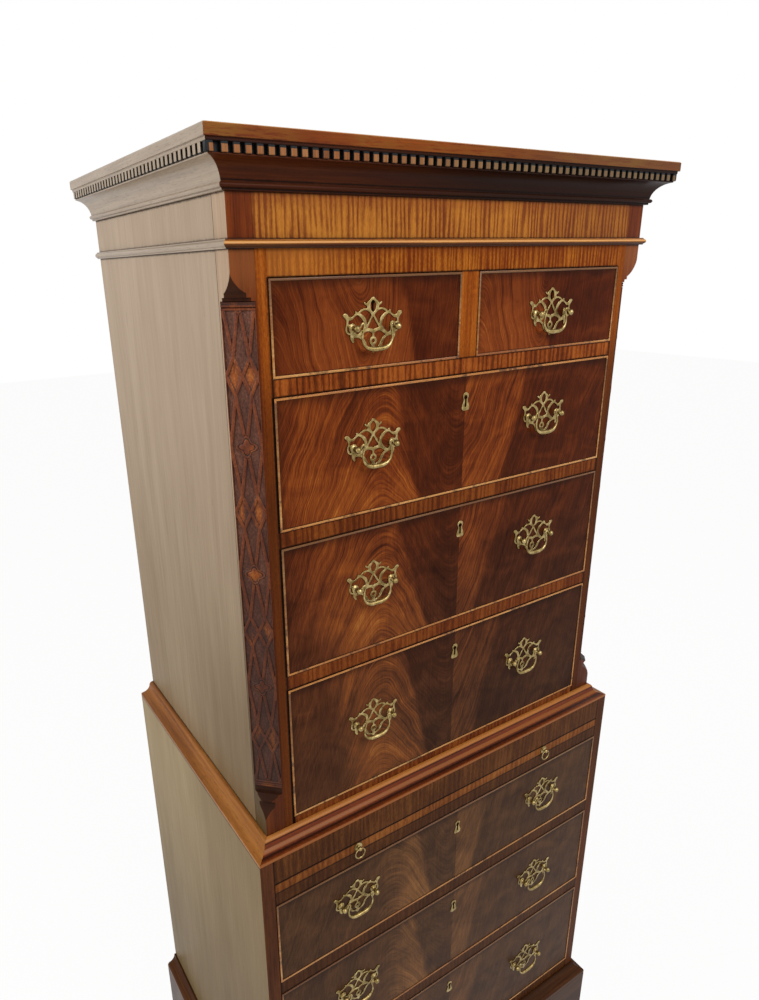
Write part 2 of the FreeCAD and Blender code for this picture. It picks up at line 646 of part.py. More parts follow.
# ---- brass handles ---------------------------------------------------------------------------
# half of the plate's outline, and its openings; x and z from the middle between the posts
PLATE_HALF = [(0, 36.9), (12.6, 30.6), (9.4, 24.6), (27.6, 20.8), (33.4, 13.9), (46.0, 16.8),
              (41.6, -3.0), (31.6, -17.0), (24.6, -10.8), (13.0, -20.6), (0, -31.4)]
PLATE_KEYHOLE = mirrored_steps([(0, 33.4), (4.4, 26.4), (0, 18.8)])
PLATE_TRIANGLE = [(0, 12.2), (8.2, -0.8), (-8.2, -0.8)]
PLATE_SHOULDER = [(4.0, 15.6), (18.4, 19.2), (10.4, 4.4)]
PLATE_SIDE = [(16.6, 11.2), (28.6, 14.0), (26.0, -7.2), (15.0, -2.0)]
PLATE_LOWER = [(3.0, -6.8), (17.0, -8.6), (6.0, -24.6)]
ESCUTCHEON = mirrored_steps([(0, 12.4), (5.6, 9.6), (4.6, 3.0), (7.4, -11.6), (0, -13.2)])
KEYHOLE = [(0, 8.6), (3.4, 5.2), (1.7, 1.4), (1.7, -8.0), (-1.7, -8.0), (-1.7, 1.4), (-3.4, 5.2)]

# half of the bail's centre line, from the ball head to the middle of the grip: x, z, radius
BAIL_HALF = [(POST_HALF - POST_BALL + PIN_DEPTH, 0, PIN), (POST_HALF - POST_BALL - PIN_GAP, 0, PIN),
             (23.8, 5.2, ARM), (23.4, -9.6, ARM), (21.6, -18.8, 1.2 * ARM),
             (14.6, -24.6, 0.9 * GRIP), (4.4, -26.0, GRIP)]


def handle_plate():
    """A pierced plate against the plane y = 0, centred between its posts."""
    def place(u, v):
        return Vector(u, 0, v)

    face = outline(mirrored_steps(PLATE_HALF), place)
    holes = [PLATE_KEYHOLE, PLATE_TRIANGLE, PLATE_SHOULDER, PLATE_SIDE, PLATE_LOWER]
    for steps in (PLATE_SHOULDER, PLATE_SIDE, PLATE_LOWER):
        holes.append(flipped(steps))
    cutters = [outline(steps, place).extrude(Vector(0, -PLATE, 0)) for steps in holes]
    cutters += [bar(SHANK_SIDES, SHANK + SHANK_GAP, side * POST_HALF, 0, -PLATE, 0)
                for side in (-1, 1)]
    return face.extrude(Vector(0, -PLATE, 0)).cut(cutters).Solids[0]


def handle_post():
    """The right-hand post: a ball head bored for the bail's pin, and a square shank."""
    flat = POST_BALL * math.tan(math.pi / SIDES)
    head = turned([(POST_BASE, -PLATE), (POST_NECK, -PLATE - POST_FOOT),
                   (POST_BALL, flat - PIVOT), (POST_BALL, -flat - PIVOT),
                   (POST_TIP, -POST_BALL - PIVOT)])
    post = head.fuse(bar(SHANK_SIDES, SHANK, 0, 0, -PLATE, FRONT)).removeSplitter()
    post = post.cut(cross_bore(PIN + PIN_GAP, -POST_BALL, PIN_DEPTH + PIN_GAP - POST_BALL,
                               -PIVOT))
    return post.Solids[0].translated(Vector(POST_HALF, 0, 0))


def cap_nut():
    """The right-hand post's square cap nut, against the back of the drawer front."""
    return box(POST_HALF - NUT / 2, POST_HALF + NUT / 2, FRONT, FRONT + NUT_THICKNESS, -NUT / 2,
               NUT / 2)


def bail():
    """A swan-neck bail hanging in the plane y = 0 from its pins on the X axis."""
    return tube(BAIL_HALF + [(-x, z, radius) for x, z, radius in reversed(BAIL_HALF)], BAIL_SIDES)


def lock(x, z, top):
    """A lock let into the back of a drawer front, its top edge level with the front's."""
    return box(x - LOCK_WIDTH / 2, x + LOCK_WIDTH / 2, FRONT - LOCK_DEPTH, FRONT, z - LOCK_BELOW,
               top)


def keyhole(x, z):
    """The way for a key, through an escutcheon and the drawer front to the lock."""
    face = outline(KEYHOLE, lambda u, v: Vector(x + u, -ESCUTCHEON_THICKNESS, z + v))
    return face.extrude(Vector(0, ESCUTCHEON_THICKNESS + FRONT - LOCK_DEPTH, 0))


def escutcheon(x, z):
    """A brass keyhole escutcheon on the face of the drawer front."""
    face = outline(ESCUTCHEON, lambda u, v: Vector(x + u, 0, z + v))
    return face.extrude(Vector(0, -ESCUTCHEON_THICKNESS, 0))


# ---- drawers -------------------------------------------------------------------------------
def bead_frame(x0, x1, z0, z1):
    """Four mitred cockbeads round a drawer front, with rounded noses."""
    nose = BEAD_ROUND
    across = [(0, LAP), (0, -BEAD_PROUD + nose), (nose, -BEAD_PROUD),
              (BEAD - nose, -BEAD_PROUD), (BEAD, -BEAD_PROUD + nose), (BEAD, LAP)]
    before = -BEAD_PROUD - CUT_OVER
    through = Vector(0, BEAD_PROUD + LAP + 2 * CUT_OVER, 0)
    strips = []
    for z, inward in ((z0, 1), (z1, -1)):
        strip = outline(across, lambda u, v, z=z, s=inward: Vector(x0, v, z + s * u))
        strip = strip.extrude(Vector(x1 - x0, 0, 0))
        mitre = [Vector(x0, before, z), Vector(x1, before, z),
                 Vector(x1 - BEAD, before, z + inward * BEAD),
                 Vector(x0 + BEAD, before, z + inward * BEAD)]
        strips.append(strip.common(prism(mitre, through)).Solids[0])
    for x, inward in ((x0, 1), (x1, -1)):
        strip = outline(across, lambda u, v, x=x, s=inward: Vector(x + s * u, v, z0))
        strip = strip.extrude(Vector(0, 0, z1 - z0))
        mitre = [Vector(x, before, z0), Vector(x, before, z1),
                 Vector(x + inward * BEAD, before, z1 - BEAD),
                 Vector(x + inward * BEAD, before, z0 + BEAD)]
        strips.append(strip.common(prism(mitre, through)).Solids[0])
    return strips


def dovetailed_side(x0, x1, z0, z1, length):
    """A drawer side with lapped dovetails at the front."""
    count = max(2, int((z1 - z0) // TAIL_PITCH))
    pitch = (z1 - z0) / count
    wide = pitch * TAIL_SHARE
    narrow = wide - TAIL_SPLAY
    points = [(FRONT, z0)]
    for index in range(count):
        middle = z0 + pitch * (index + 0.5)
        points += [(FRONT, middle - narrow), (LAP, middle - wide), (LAP, middle + wide),
                   (FRONT, middle + narrow)]
    points += [(FRONT, z1), (length, z1), (length, z0)]
    return prism([Vector(x0, y, z) for y, z in points], Vector(x1 - x0, 0, 0))


def drawer(name, x0, x1, z0, z1, front_y, handle_xs, handle_z, key, key_plate):
    """One drawer in the opening between x0, x1, z0 and z1, with the front face at front_y."""
    left, right = x0 + SIDE_GAP, x1 - SIDE_GAP
    low, high = z0 + FLOOR_GAP, z1 - TOP_GAP
    length = BACK_FACE_Y - front_y - REAR_GAP
    side_top = high - SIDE_DROP
    bottom_z = z0 + BOTTOM_RISE

    sides = [dovetailed_side(left, left + LINING, z0, side_top, length),
             dovetailed_side(right - LINING, right, z0, side_top, length)]
    rear = box(left + LINING, right - LINING, length - LINING, length, bottom_z + BOTTOM,
               side_top - BACK_DROP)
    bottom = box(left + LINING - GROOVE, right - LINING + GROOVE, FRONT - GROOVE, length,
                 bottom_z, bottom_z + BOTTOM)
    sides = [side.cut(bottom) for side in sides]

    panel = box(left + BEAD, right - BEAD, 0, LAP, low + BEAD, high - BEAD)
    panel = panel.fuse(box(left, right, LAP, FRONT, low, high)).removeSplitter()
    cutters = sides + [bottom]
    brasses = []
    for x in handle_xs:
        move = Vector(x, 0, handle_z)
        brasses += [piece.translated(move) for piece in HANDLE]
        cutters += [bar(SHANK_SIDES, SHANK + SHANK_GAP, x + side * POST_HALF, handle_z, 0, FRONT)
                    for side in (-1, 1)]
    key_x, key_z = key
    body = lock(key_x, key_z, high)
    way = keyhole(key_x, key_z)
    cutters += [body, way]
    brasses.append(body)
    if key_plate:
        brasses.append(escutcheon(key_x, key_z).cut(way))
    panel = panel.cut(cutters).Solids[0]

    shift = Vector(0, front_y, 0)
    write(f"{name}_front", [solid.translated(shift)
                            for solid in [panel] + bead_frame(left, right, low, high)])
    write(f"{name}_box", [solid.translated(shift) for solid in sides + [rear, bottom]])
    write(f"{name}_brasses", [solid.translated(shift) for solid in brasses])
    for x in handle_xs:
        tag = "" if len(handle_xs) == 1 else ("_left" if x < 0 else "_right")
        hung = BAIL.translated(Vector(x, front_y - PIVOT, handle_z))
        write(f"{name}_bail{tag}", [hung])


def drawers():
    for index, (z0, z1) in enumerate(UPPER_LEVELS):
        handle_z = (z0 + z1) / 2 + HANDLE_RISE[index]
        if index == len(UPPER_LEVELS) - 1:
            for name, side in (("short_drawer_left", -1), ("short_drawer_right", 1)):
                x0, x1 = sorted((side * MUNTIN / 2, side * UPPER_OPENING))
                x = side * UPPER_HANDLE_X
                drawer(name, x0, x1, z0, z1, UPPER_FRONT_Y, [x], handle_z,
                       (x, handle_z + SHORT_KEY_RISE), False)
        else:
            drawer(f"upper_drawer_{index + 1}", -UPPER_OPENING, UPPER_OPENING, z0, z1,
                   UPPER_FRONT_Y, [-UPPER_HANDLE_X, UPPER_HANDLE_X], handle_z,
                   (0, z1 - KEY_DROP), True)
    for index, (z0, z1) in enumerate(LOWER_LEVELS):
        drawer(f"lower_drawer_{index + 1}", -LOWER_INNER, LOWER_INNER, z0, z1, LOWER_FRONT_Y,
               [-LOWER_HANDLE_X, LOWER_HANDLE_X], (z0 + z1) / 2 + LOWER_HANDLE_RISE[index],
               (0, z1 - KEY_DROP), True)


# ---- brushing slide ----------------------------------------------------------------------------
def ring_pull():
    """A screwed pull with a rose and a ball head, bored across for its ring."""
    flat = RING_BALL * math.tan(math.pi / SIDES)
    head = turned([(SCREW, SCREW_LENGTH), (SCREW, 0), (ROSE, 0), (ROSE, -ROSE_THICKNESS),
                   (SCREW, -ROSE_THICKNESS), (RING_BALL, flat - RING_STAND),
                   (RING_BALL, -flat - RING_STAND), (SCREW, -RING_BALL - RING_STAND)])
    return head.cut(cross_bore(RING_BORE, -RING_BALL, RING_BALL, -RING_STAND)).Solids[0]


def drop_ring():
    """A ring hanging in the plane y = 0 from the X axis."""
    stations = []
    for step in range(RING_STATIONS):
        turn = 2 * math.pi * step / RING_STATIONS
        stations.append((RING * math.sin(turn), RING * (math.cos(turn) - 1) + RING_LIFT,
                         RING_WIRE))
    return tube(stations, SIDES, closed=True)


def brushing_slide():
    """A sliding shelf with a lipped front edge and two ring pulls."""
    half = LOWER_INNER - SIDE_GAP
    top = SLIDE_Z + SLIDE_SPACE - TOP_GAP
    middle = (SLIDE_Z + top) / 2
    joint_y = LOWER_FRONT_Y + SLIDE_EDGE
    board = box(-half, half, joint_y, BACK_FACE_Y, SLIDE_Z, top)
    edge = box(-half, half, LOWER_FRONT_Y, joint_y, SLIDE_Z, top)
    pulls = []
    for side in (-1, 1):
        x = side * SLIDE_PULL_X
        here = Vector(x, LOWER_FRONT_Y, middle)
        edge = edge.cut(bar(SIDES, SCREW + SCREW_GAP, x, middle, LOWER_FRONT_Y,
                            LOWER_FRONT_Y + SCREW_LENGTH))
        pulls.append(ring_pull().translated(here))
        ring = drop_ring().translated(here - Vector(0, RING_STAND, 0))
        write(f"slide_ring_{'left' if side < 0 else 'right'}", [ring])
    write("brushing_slide", [board, edge])
    write("slide_pulls", pulls)


HANDLE = [handle_plate()] + pair(handle_post()) + pair(cap_nut())
BAIL = bail()

os.makedirs("parts", exist_ok=True)
upper_case()
lower_case()
mouldings()
feet()
drawers()
brushing_slide()
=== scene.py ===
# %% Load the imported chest
import json
import math
import bmesh
import bpy
import numpy as np
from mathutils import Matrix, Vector

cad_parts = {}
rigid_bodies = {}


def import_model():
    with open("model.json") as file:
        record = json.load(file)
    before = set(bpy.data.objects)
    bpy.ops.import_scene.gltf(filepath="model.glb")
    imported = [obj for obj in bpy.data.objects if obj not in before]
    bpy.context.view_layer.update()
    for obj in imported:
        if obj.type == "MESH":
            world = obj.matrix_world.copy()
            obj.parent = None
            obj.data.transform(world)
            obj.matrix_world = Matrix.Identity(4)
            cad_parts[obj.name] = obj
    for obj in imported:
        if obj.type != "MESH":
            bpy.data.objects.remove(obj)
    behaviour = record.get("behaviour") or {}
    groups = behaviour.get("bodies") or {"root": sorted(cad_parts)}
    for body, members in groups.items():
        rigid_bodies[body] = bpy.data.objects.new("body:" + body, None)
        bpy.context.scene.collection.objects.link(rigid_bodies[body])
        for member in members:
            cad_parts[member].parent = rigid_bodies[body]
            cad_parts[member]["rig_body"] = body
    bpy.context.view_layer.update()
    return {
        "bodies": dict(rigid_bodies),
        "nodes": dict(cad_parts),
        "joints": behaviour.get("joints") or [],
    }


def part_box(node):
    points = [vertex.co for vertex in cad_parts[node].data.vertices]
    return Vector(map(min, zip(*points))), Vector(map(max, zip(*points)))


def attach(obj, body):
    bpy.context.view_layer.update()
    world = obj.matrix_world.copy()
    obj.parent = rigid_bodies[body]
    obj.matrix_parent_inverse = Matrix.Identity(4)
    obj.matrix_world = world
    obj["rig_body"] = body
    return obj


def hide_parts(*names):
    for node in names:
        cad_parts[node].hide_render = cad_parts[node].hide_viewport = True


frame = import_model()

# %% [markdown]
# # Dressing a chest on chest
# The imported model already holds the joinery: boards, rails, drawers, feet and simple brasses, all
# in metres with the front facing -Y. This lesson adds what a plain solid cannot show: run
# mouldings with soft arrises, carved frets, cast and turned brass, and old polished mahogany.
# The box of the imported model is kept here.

MM = 0.001

# %% [markdown]
# ## The camera
# The chest is seen from the left and from above its middle, with the feet out of the picture. The
# camera's place and turn are plain numbers. The shift moves the frame without turning the camera,
# which keeps the tall sides as steep as the eye sees them.

# %% Camera
camera_data = bpy.data.cameras.new("camera")
camera_data.sensor_width = 36
camera_data.lens = 25.206
camera_data.shift_x = 0.0541
camera_data.shift_y = 0.0197
camera_data.clip_start = 0.05
camera = bpy.data.objects.new("camera", camera_data)
camera.location = (-0.70764, -0.97883, 1.71387)
camera.rotation_euler = (1.22407, 0.024053, -0.562525)
bpy.context.scene.collection.objects.link(camera)
bpy.context.scene.camera = camera

# %% [markdown]
# ## Levels and faces
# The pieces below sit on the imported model, so they use its levels, and the edges of the openings
# are worked out from the drawer fronts and the gaps round them. DIVIDER_HALF is half the width of
# the divider between the short drawers, and POST_EDGE is where the corner posts begin. All are in
# millimetres and are turned to metres where a mesh is made.

# %% Levels, mm
UPPER_HALF, LOWER_HALF = 360.0, 387.0
UPPER_FRONT, LOWER_FRONT, BACK = -228.0, -255.0, 277.0
CASE_BOTTOM, LOWER_TOP, UPPER_SILL = 134.0, 894.0, 918.0
ASTRAGAL, FRIEZE, CORNICE, TOP = 1735.0, 1745.0, 1793.0, 1851.5
DIVIDER_HALF, POST_EDGE = 15.6, 328.0

# %% Openings of the drawers, mm
GAP_BELOW, GAP_ABOVE, GAP_BESIDE, BEAD_PROUD = 0.4, 1.0, 0.6, 1.8
drawers = sorted(body for body in frame["bodies"] if f"{body}_front" in frame["nodes"])


def front_of(drawer):
    """Two corners of a drawer front, and the y of its face, behind the noses of the beads."""
    low, high = (np.array(corner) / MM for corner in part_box(f"{drawer}_front"))
    return low, high, low[1] + BEAD_PROUD


def edges_of(*names):
    """Lower and upper edge of the opening round each drawer front."""
    corners = [front_of(name)[:2] for name in names]
    return [round(level, 3) for low, high in corners
            for level in (low[2] - GAP_BELOW, high[2] + GAP_ABOVE)]


UPPER_LEVELS = edges_of("upper_drawer_1", "upper_drawer_2", "upper_drawer_3", "short_drawer_left")
LOWER_LEVELS = edges_of("lower_drawer_1", "lower_drawer_2", "lower_drawer_3")
UPPER_OPEN, LOWER_OPEN = (round(front_of(name)[1][0] + GAP_BESIDE, 3)
                          for name in ("upper_drawer_1", "lower_drawer_1"))
SLIDE_LOW, SLIDE_HIGH = (round(corner[2] / MM, 3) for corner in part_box("brushing_slide"))
LONG_TOP, SHORT_SILL, SHORT_TOP = UPPER_LEVELS[5:]
RAIL_MIDDLES = [(UPPER_LEVELS[k] + UPPER_LEVELS[k + 1]) / 2 for k in (1, 3)]
print("openings from", LOWER_LEVELS[0], "to", SHORT_TOP, "mm; slide at", SLIDE_LOW)

# %% [markdown]
# ## One way to make most pieces
# A moulding, a bail, a turned knob and a carved strip are all a closed section that travels: along
# a mitred path, along a bent wire, round an axis, or up a post. So one helper takes a stack of
# sections, each a row of points, and skins them with quads. The ends get caps unless the stack
# closes on itself. Normals are recalculated once the shell is whole, so no piece is inside out.

# %% Skins from stacked sections
def placed(name, mesh, body, nodes, smooth):
    """Makes a mesh a piece of the scene: smooth below an angle, riding on its body."""
    mesh.shade_smooth()
    mesh.set_sharp_from_angle(angle=math.radians(smooth))
    piece = bpy.data.objects.new(name, mesh)
    bpy.context.scene.collection.objects.link(piece)
    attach(piece, body)
    if nodes:
        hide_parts(*nodes)
    return piece


def cleaned(mesh, join_below, flat_below=None):
    """Merges corners closer than a length in metres, and joins faces flatter than an angle.

    Where no angle is given the faces are turned outwards instead.
    """
    shell = bmesh.new()
    shell.from_mesh(mesh)
    bmesh.ops.remove_doubles(shell, verts=shell.verts, dist=join_below)
    if flat_below:
        bmesh.ops.dissolve_limit(shell, angle_limit=math.radians(flat_below), verts=shell.verts,
                                 edges=shell.edges)
    else:
        bmesh.ops.recalc_face_normals(shell, faces=shell.faces)
    shell.to_mesh(mesh)
    shell.free()


def skin(sections, closed=False):
    """Points and faces of a shell on sections of shape (rows, points, 3).

    Point k of row r joins point k of row r + 1; the last point joins the first.
    """
    rows, count = sections.shape[:2]
    index = np.arange(rows * count).reshape(rows, count)
    here = index if closed else index[:-1]
    there = np.roll(index, -1, axis=0) if closed else index[1:]
    quads = np.stack([here, np.roll(here, -1, axis=1), np.roll(there, -1, axis=1), there], axis=-1)
    faces = quads.reshape(-1, 4).tolist()
    if not closed:
        faces += [index[0].tolist(), index[-1, ::-1].tolist()]
    return sections.reshape(-1, 3), faces


def skinned(name, shells, body, *nodes, smooth=40):
    """One piece from one or several shells in millimetres."""
    points, faces, start = [], [], 0
    for shell_points, shell_faces in shells:
        points.append(shell_points)
        faces += [[corner + start for corner in face] for face in shell_faces]
        start += len(shell_points)
    mesh = bpy.data.meshes.new(name)
    mesh.from_pydata((np.concatenate(points) * MM).tolist(), [], faces)
    cleaned(mesh, 1e-7)
    return placed(name, mesh, body, nodes, smooth)


def measured(piece, name, values):
    """Keeps one number per point on a piece, for its material to read."""
    values = np.asarray(values, float).ravel()
    assert len(values) == len(piece.data.vertices), (piece.name, name)
    piece.data.attributes.new(name, "FLOAT", "POINT").data.foreach_set("value", values)


def points_of(piece):
    """The points of a piece in millimetres, one row each."""
    places = np.empty(len(piece.data.vertices) * 3)
    piece.data.vertices.foreach_get("co", places)
    return places.reshape(-1, 3) / MM


def eased(piece, width):
    """Rounds the sharp edges of a piece by a width in millimetres."""
    bevel = piece.modifiers.new("eased", "BEVEL")
    bevel.width = width * MM
    bevel.segments = 2
    bevel.limit_method = "ANGLE"
    bevel.angle_limit = math.radians(35)
    bevel.harden_normals = False
    return piece


# %% [markdown]
# ## Curved outlines
# Drawings of mouldings are made of straight runs and arcs. An arc through three points is found
# from the circle through them. Cast brass has no such geometry: its outline is a soft line through
# marked points, for which a Catmull-Rom curve is the usual choice.

# %% Arcs and soft lines
def arc(start, through, end):
    """Ten points after start up to end on the circle through three points.

    The centre solves the two equations that make it as far from the first point as from the
    second and from the third; the angle then runs evenly the way that passes the middle point.
    """
    a, b, c = (np.array(p, float) for p in (start, through, end))
    sides = 2 * np.array([b - a, c - a])
    centre = np.linalg.solve(sides, [b @ b - a @ a, c @ c - a @ a])
    angles = [math.atan2(*(p - centre)[::-1]) for p in (a, b, c)]
    middle = (angles[1] - angles[0]) % (2 * math.pi)
    sweep = (angles[2] - angles[0]) % (2 * math.pi)
    if middle > sweep:
        sweep -= 2 * math.pi
    turn = angles[0] + sweep * np.arange(1, 11) / 10
    return centre + np.linalg.norm(a - centre) * np.stack([np.cos(turn), np.sin(turn)], axis=1)


def drawn(steps, wide=1.0, high=1.0):
    """A section from steps: two values end a line, four give an arc through a point to its end."""
    scale = np.array([wide, high])
    rows = [np.array([steps[0]]) * scale]
    for step in steps[1:]:
        if len(step) == 2:
            rows.append(np.array([step]) * scale)
        else:
            rows.append(arc(rows[-1][-1], step[:2] * scale, step[2:] * scale))
    return np.concatenate(rows)


def soft_line(points, steps=6, closed=True):
    """A Catmull-Rom curve: each span is a cubic whose slopes follow the neighbouring points."""
    p = np.array(points, float)
    if closed:
        before, here, there, after = (np.roll(p, shift, axis=0) for shift in (1, 0, -1, -2))
    else:
        ends = np.concatenate([2 * p[:1] - p[1:2], p, 2 * p[-1:] - p[-2:-1]])
        before, here, there, after = ends[:-3], ends[1:-2], ends[2:-1], ends[3:]
    t = (np.arange(steps) / steps)[None, :, None]
    before, here, there, after = (q[:, None, :] for q in (before, here, there, after))
    curve = 0.5 * (2 * here + (there - before) * t
                   + (2 * before - 5 * here + 4 * there - after) * t ** 2
                   + (3 * here - before - 3 * there + after) * t ** 3)
    curve = curve.reshape(-1, p.shape[1])
    return curve if closed else np.concatenate([curve, p[-1:]])


# %% [markdown]
# ## Run mouldings
# A moulding is planed in lengths and mitred round three sides of its case. Each section is drawn
# as projection and height, and set square to the wall it follows; at a mitre both directions
# project, so the section there is stretched along the diagonal, exactly as a real mitre cut is.
# The front and the two returns are pieces of their own, because their grain runs different ways. A
# hand plane wanders by a tenth of a millimetre, which is what makes an old highlight waver.

# %% Mouldings
def lengths(section, half, front, bottom):
    """Front, left and right lengths of a section (projection, height) round a case.

    Between its two ends a length is a straight blend of the end sections, worn inwards by up to
    0.12 mm: sin(pi t) times a slow wave in t between 0 and 1, so that it is true at the mitres.
    """
    out, up = section.T
    z = bottom + up
    back = np.stack([-half - out, np.full_like(out, BACK), z], axis=1)
    corner = np.stack([-half - out, front - out, z], axis=1)
    mirror = np.array([-1, 1, 1])
    t = np.linspace(0, 1, 33)[:, None, None]
    wave = 0.5 + 0.5 * np.sin(23 * t + np.sin(9 * t))
    wander = -0.12 * np.sin(math.pi * t) * wave * (out > 1)[None, :, None]

    def run(start, end, outward):
        return skin(start * (1 - t) + end * t + wander * np.array(outward))

    return {"front": run(corner, corner * mirror, (0, -1, 0)),
            "left": run(back, corner, (-1, 0, 0)),
            "right": run(corner * mirror, back * mirror, (1, 0, 0))}


def moulding(name, section, half, front, bottom):
    """The three lengths of a moulding as pieces, with their arrises eased."""
    pieces = {side: eased(skinned(f"{name}_{side}", [shell], "case", name, smooth=32), 0.45)
              for side, shell in lengths(section, half, front, bottom).items()}
    print(name, "projects", section[:, 0].max(), "mm, rises", section[:, 1].max(), "mm")
    return pieces


base_section = drawn([(0, 0), (1, 0), (1, 0.22), (0.95, 0.38, 0.68, 0.48),
                      (0.39, 0.61, 0.18, 0.91), (0.18, 1), (0, 1)], 22.0, 32.0)
base_section[:, 0] = np.minimum(base_section[:, 0], 22.0)
waist_section = drawn([(0, 0), (1, 0), (1, 0.19), (0.74, 0.25), (0.43, 0.44, 0.30, 0.79),
                       (0.22, 0.94, 0.09, 1), (0, 1)], 27.0, 24.0)
astragal_section = drawn([(0, 0), (0.6, 0), (0.6, 0.15), (1, 0.5, 0.6, 0.85), (0.6, 1), (0, 1)],
                         7.5, 10.0)
cove = drawn([(0, 0), (0.18, 0), (0.18, 0.08), (0.32, 0.16, 0.20, 0.25), (0.21, 0.28),
              (0.43, 0.69, 1, 0.95), (1, 1)], 28.0, 32.0)
crown = drawn([(22, 32), (22, 42), (31, 42), (31, 45.5), (33.5, 45.5), (33.5, 57), (32, 58.5),
               (0, 58.5)])
base = moulding("base_moulding", base_section, LOWER_HALF, LOWER_FRONT, CASE_BOTTOM)
waist = moulding("waist_moulding", waist_section, UPPER_HALF, UPPER_FRONT, LOWER_TOP)
astragal = moulding("astragal", astragal_section, UPPER_HALF, UPPER_FRONT, ASTRAGAL)
cornice = moulding("cornice", np.concatenate([cove, crown]), UPPER_HALF, UPPER_FRONT, CORNICE)

# %% [markdown]
# ## Dentils
# Under the crown of the cornice stands a course of small teeth on a strip. Each tooth is a stack
# of six-cornered sections: square at the back, chamfered at the front, and drawn in at its lower
# end. The strip is a moulding like the others, so the same helper mitres it.

# %% Dentil course
TOOTH, PITCH, TOOTH_HIGH, GROUND, FACE = 8.4, 13.45, 10.0, 24.5, 30.5
FRONT_TEETH, FIRST_TOOTH, FIRST_SIDE_TOOTH = 56, -374.075, -245.05
DENTIL_LOW = CORNICE + 32.0


def tooth(origin, along, outward):
    """One tooth: sections stacked upwards from its lower end.

    A point of a section is the origin, plus a distance along the wall, plus one away from it.
    """
    chamfer = 0.7
    plan = np.array([(0, GROUND - 1), (0, FACE - chamfer), (chamfer, FACE),
                     (TOOTH - chamfer, FACE), (TOOTH, FACE - chamfer), (TOOTH, GROUND - 1)])
    drawn_in = plan + [(0.5, 0), (0.5, -0.7), (0.3, -0.9), (-0.3, -0.9), (-0.5, -0.7), (-0.5, 0)]
    rows = [(drawn_in, 0.02), (plan, 0.8), (plan, TOOTH_HIGH - 0.02)]
    return skin(np.stack([np.array(origin) + np.outer(flat[:, 0], along)
                          + np.outer(flat[:, 1], outward) + [0, 0, up] for flat, up in rows]))


strips = lengths(np.array([(22.0, 0.02), (GROUND, 0.02), (GROUND, 9.98), (22.0, 9.98)]),
                 UPPER_HALF, UPPER_FRONT, DENTIL_LOW)
reach = UPPER_HALF + FACE
front_starts = np.concatenate([FIRST_TOOTH + PITCH * np.arange(FRONT_TEETH),
                               [-reach, reach - TOOTH]])
side_starts = np.arange(FIRST_SIDE_TOOTH, BACK - TOOTH, PITCH)
front_teeth = [tooth((x, UPPER_FRONT, DENTIL_LOW), (1, 0, 0), (0, -1, 0)) for x in front_starts]
dentils = {"front": skinned("dentils_front", [strips["front"]] + front_teeth, "case", "dentils")}
for name, side in (("left", -1), ("right", 1)):
    teeth = [tooth((side * UPPER_HALF, y, DENTIL_LOW), (0, 1, 0), (side, 0, 0))
             for y in side_starts]
    dentils[name] = skinned(f"dentils_{name}", [strips[name]] + teeth, "case", "dentils")
print(len(front_starts), "teeth in front,", len(side_starts), "on each side")

# %% [markdown]
# ## Softened joinery
# Sawn and planed wood never keeps a knife edge: two centuries of hands and dusters round it. The
# packed boards are loose triangles, so each visible one is copied, its corners are merged, flat
# neighbours are joined, and a narrow bevel is put on what is left of the edges.

# %% Softened copies of the boards
def softened(node, width):
    """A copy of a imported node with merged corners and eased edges, standing for that node."""
    packed = frame["nodes"][node]
    mesh = packed.data.copy()
    mesh.name = f"{node}_eased"
    cleaned(mesh, 2e-6, 1)
    return eased(placed(mesh.name, mesh, packed["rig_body"], [node], 32), width)


boards = {node: softened(node, width) for node, width in
          (("upper_sides", 0.8), ("lower_sides", 0.8), ("corner_posts", 0.6), ("upper_boards", 0.8),
           ("frieze", 0.4), ("lower_boards", 0.6))}
print("softened", ", ".join(boards))

# %% [markdown]
# The stop above each fret ends in a lamb's tongue. Drawn out upwards by a constant share, its
# curve runs into the corner in a long thin point: z = foot + share (z - foot).

# %% Drawn-out stops
STOP_LOW, STOP_HIGH, DRAWN = 1679.0, 1715.0, 1.4
moved = 0
for vertex in boards["corner_posts"].data.vertices:
    rise = vertex.co.z / MM - STOP_LOW
    if 0.01 < rise < STOP_HIGH - STOP_LOW + 0.5:
        vertex.co.z = (STOP_LOW + DRAWN * rise) * MM
        moved += 1
print(moved, "corners of the stops moved up")

# %% [markdown]
# ## Blind fret
# The canted corners carry a blind fret: sawn straps glued on a sunk ground. Four straps climb each
# corner. Two start from the middle, two from the edges; they cross, touch, and cross again in each
# of four bays, and a quatrefoil covers every meeting. The whole strip is one height field: for
# each point of a fine grid, the relief is the highest of strap, rosette and ground there.

# %% Fret relief
CANT, CANT_HALF, FRET_HALF = 31.0, 21.0, 20.3
FRET_LOW, FRET_HIGH, BAYS = 992.0, 687.0, 4
STRAP, RELIEF, ROSETTE, REED = 5.0, 1.6, 12.0, 3.6


def distance(u, v, start, end):
    """Distance of points (u, v) from a straight piece between two points."""
    a, b = np.array(start, float), np.array(end, float)
    along = ((u - a[0]) * (b - a)[0] + (v - a[1]) * (b - a)[1]) / ((b - a) @ (b - a))
    along = np.clip(along, 0, 1)
    return np.hypot(u - a[0] - along * (b - a)[0], v - a[1] - along * (b - a)[1])


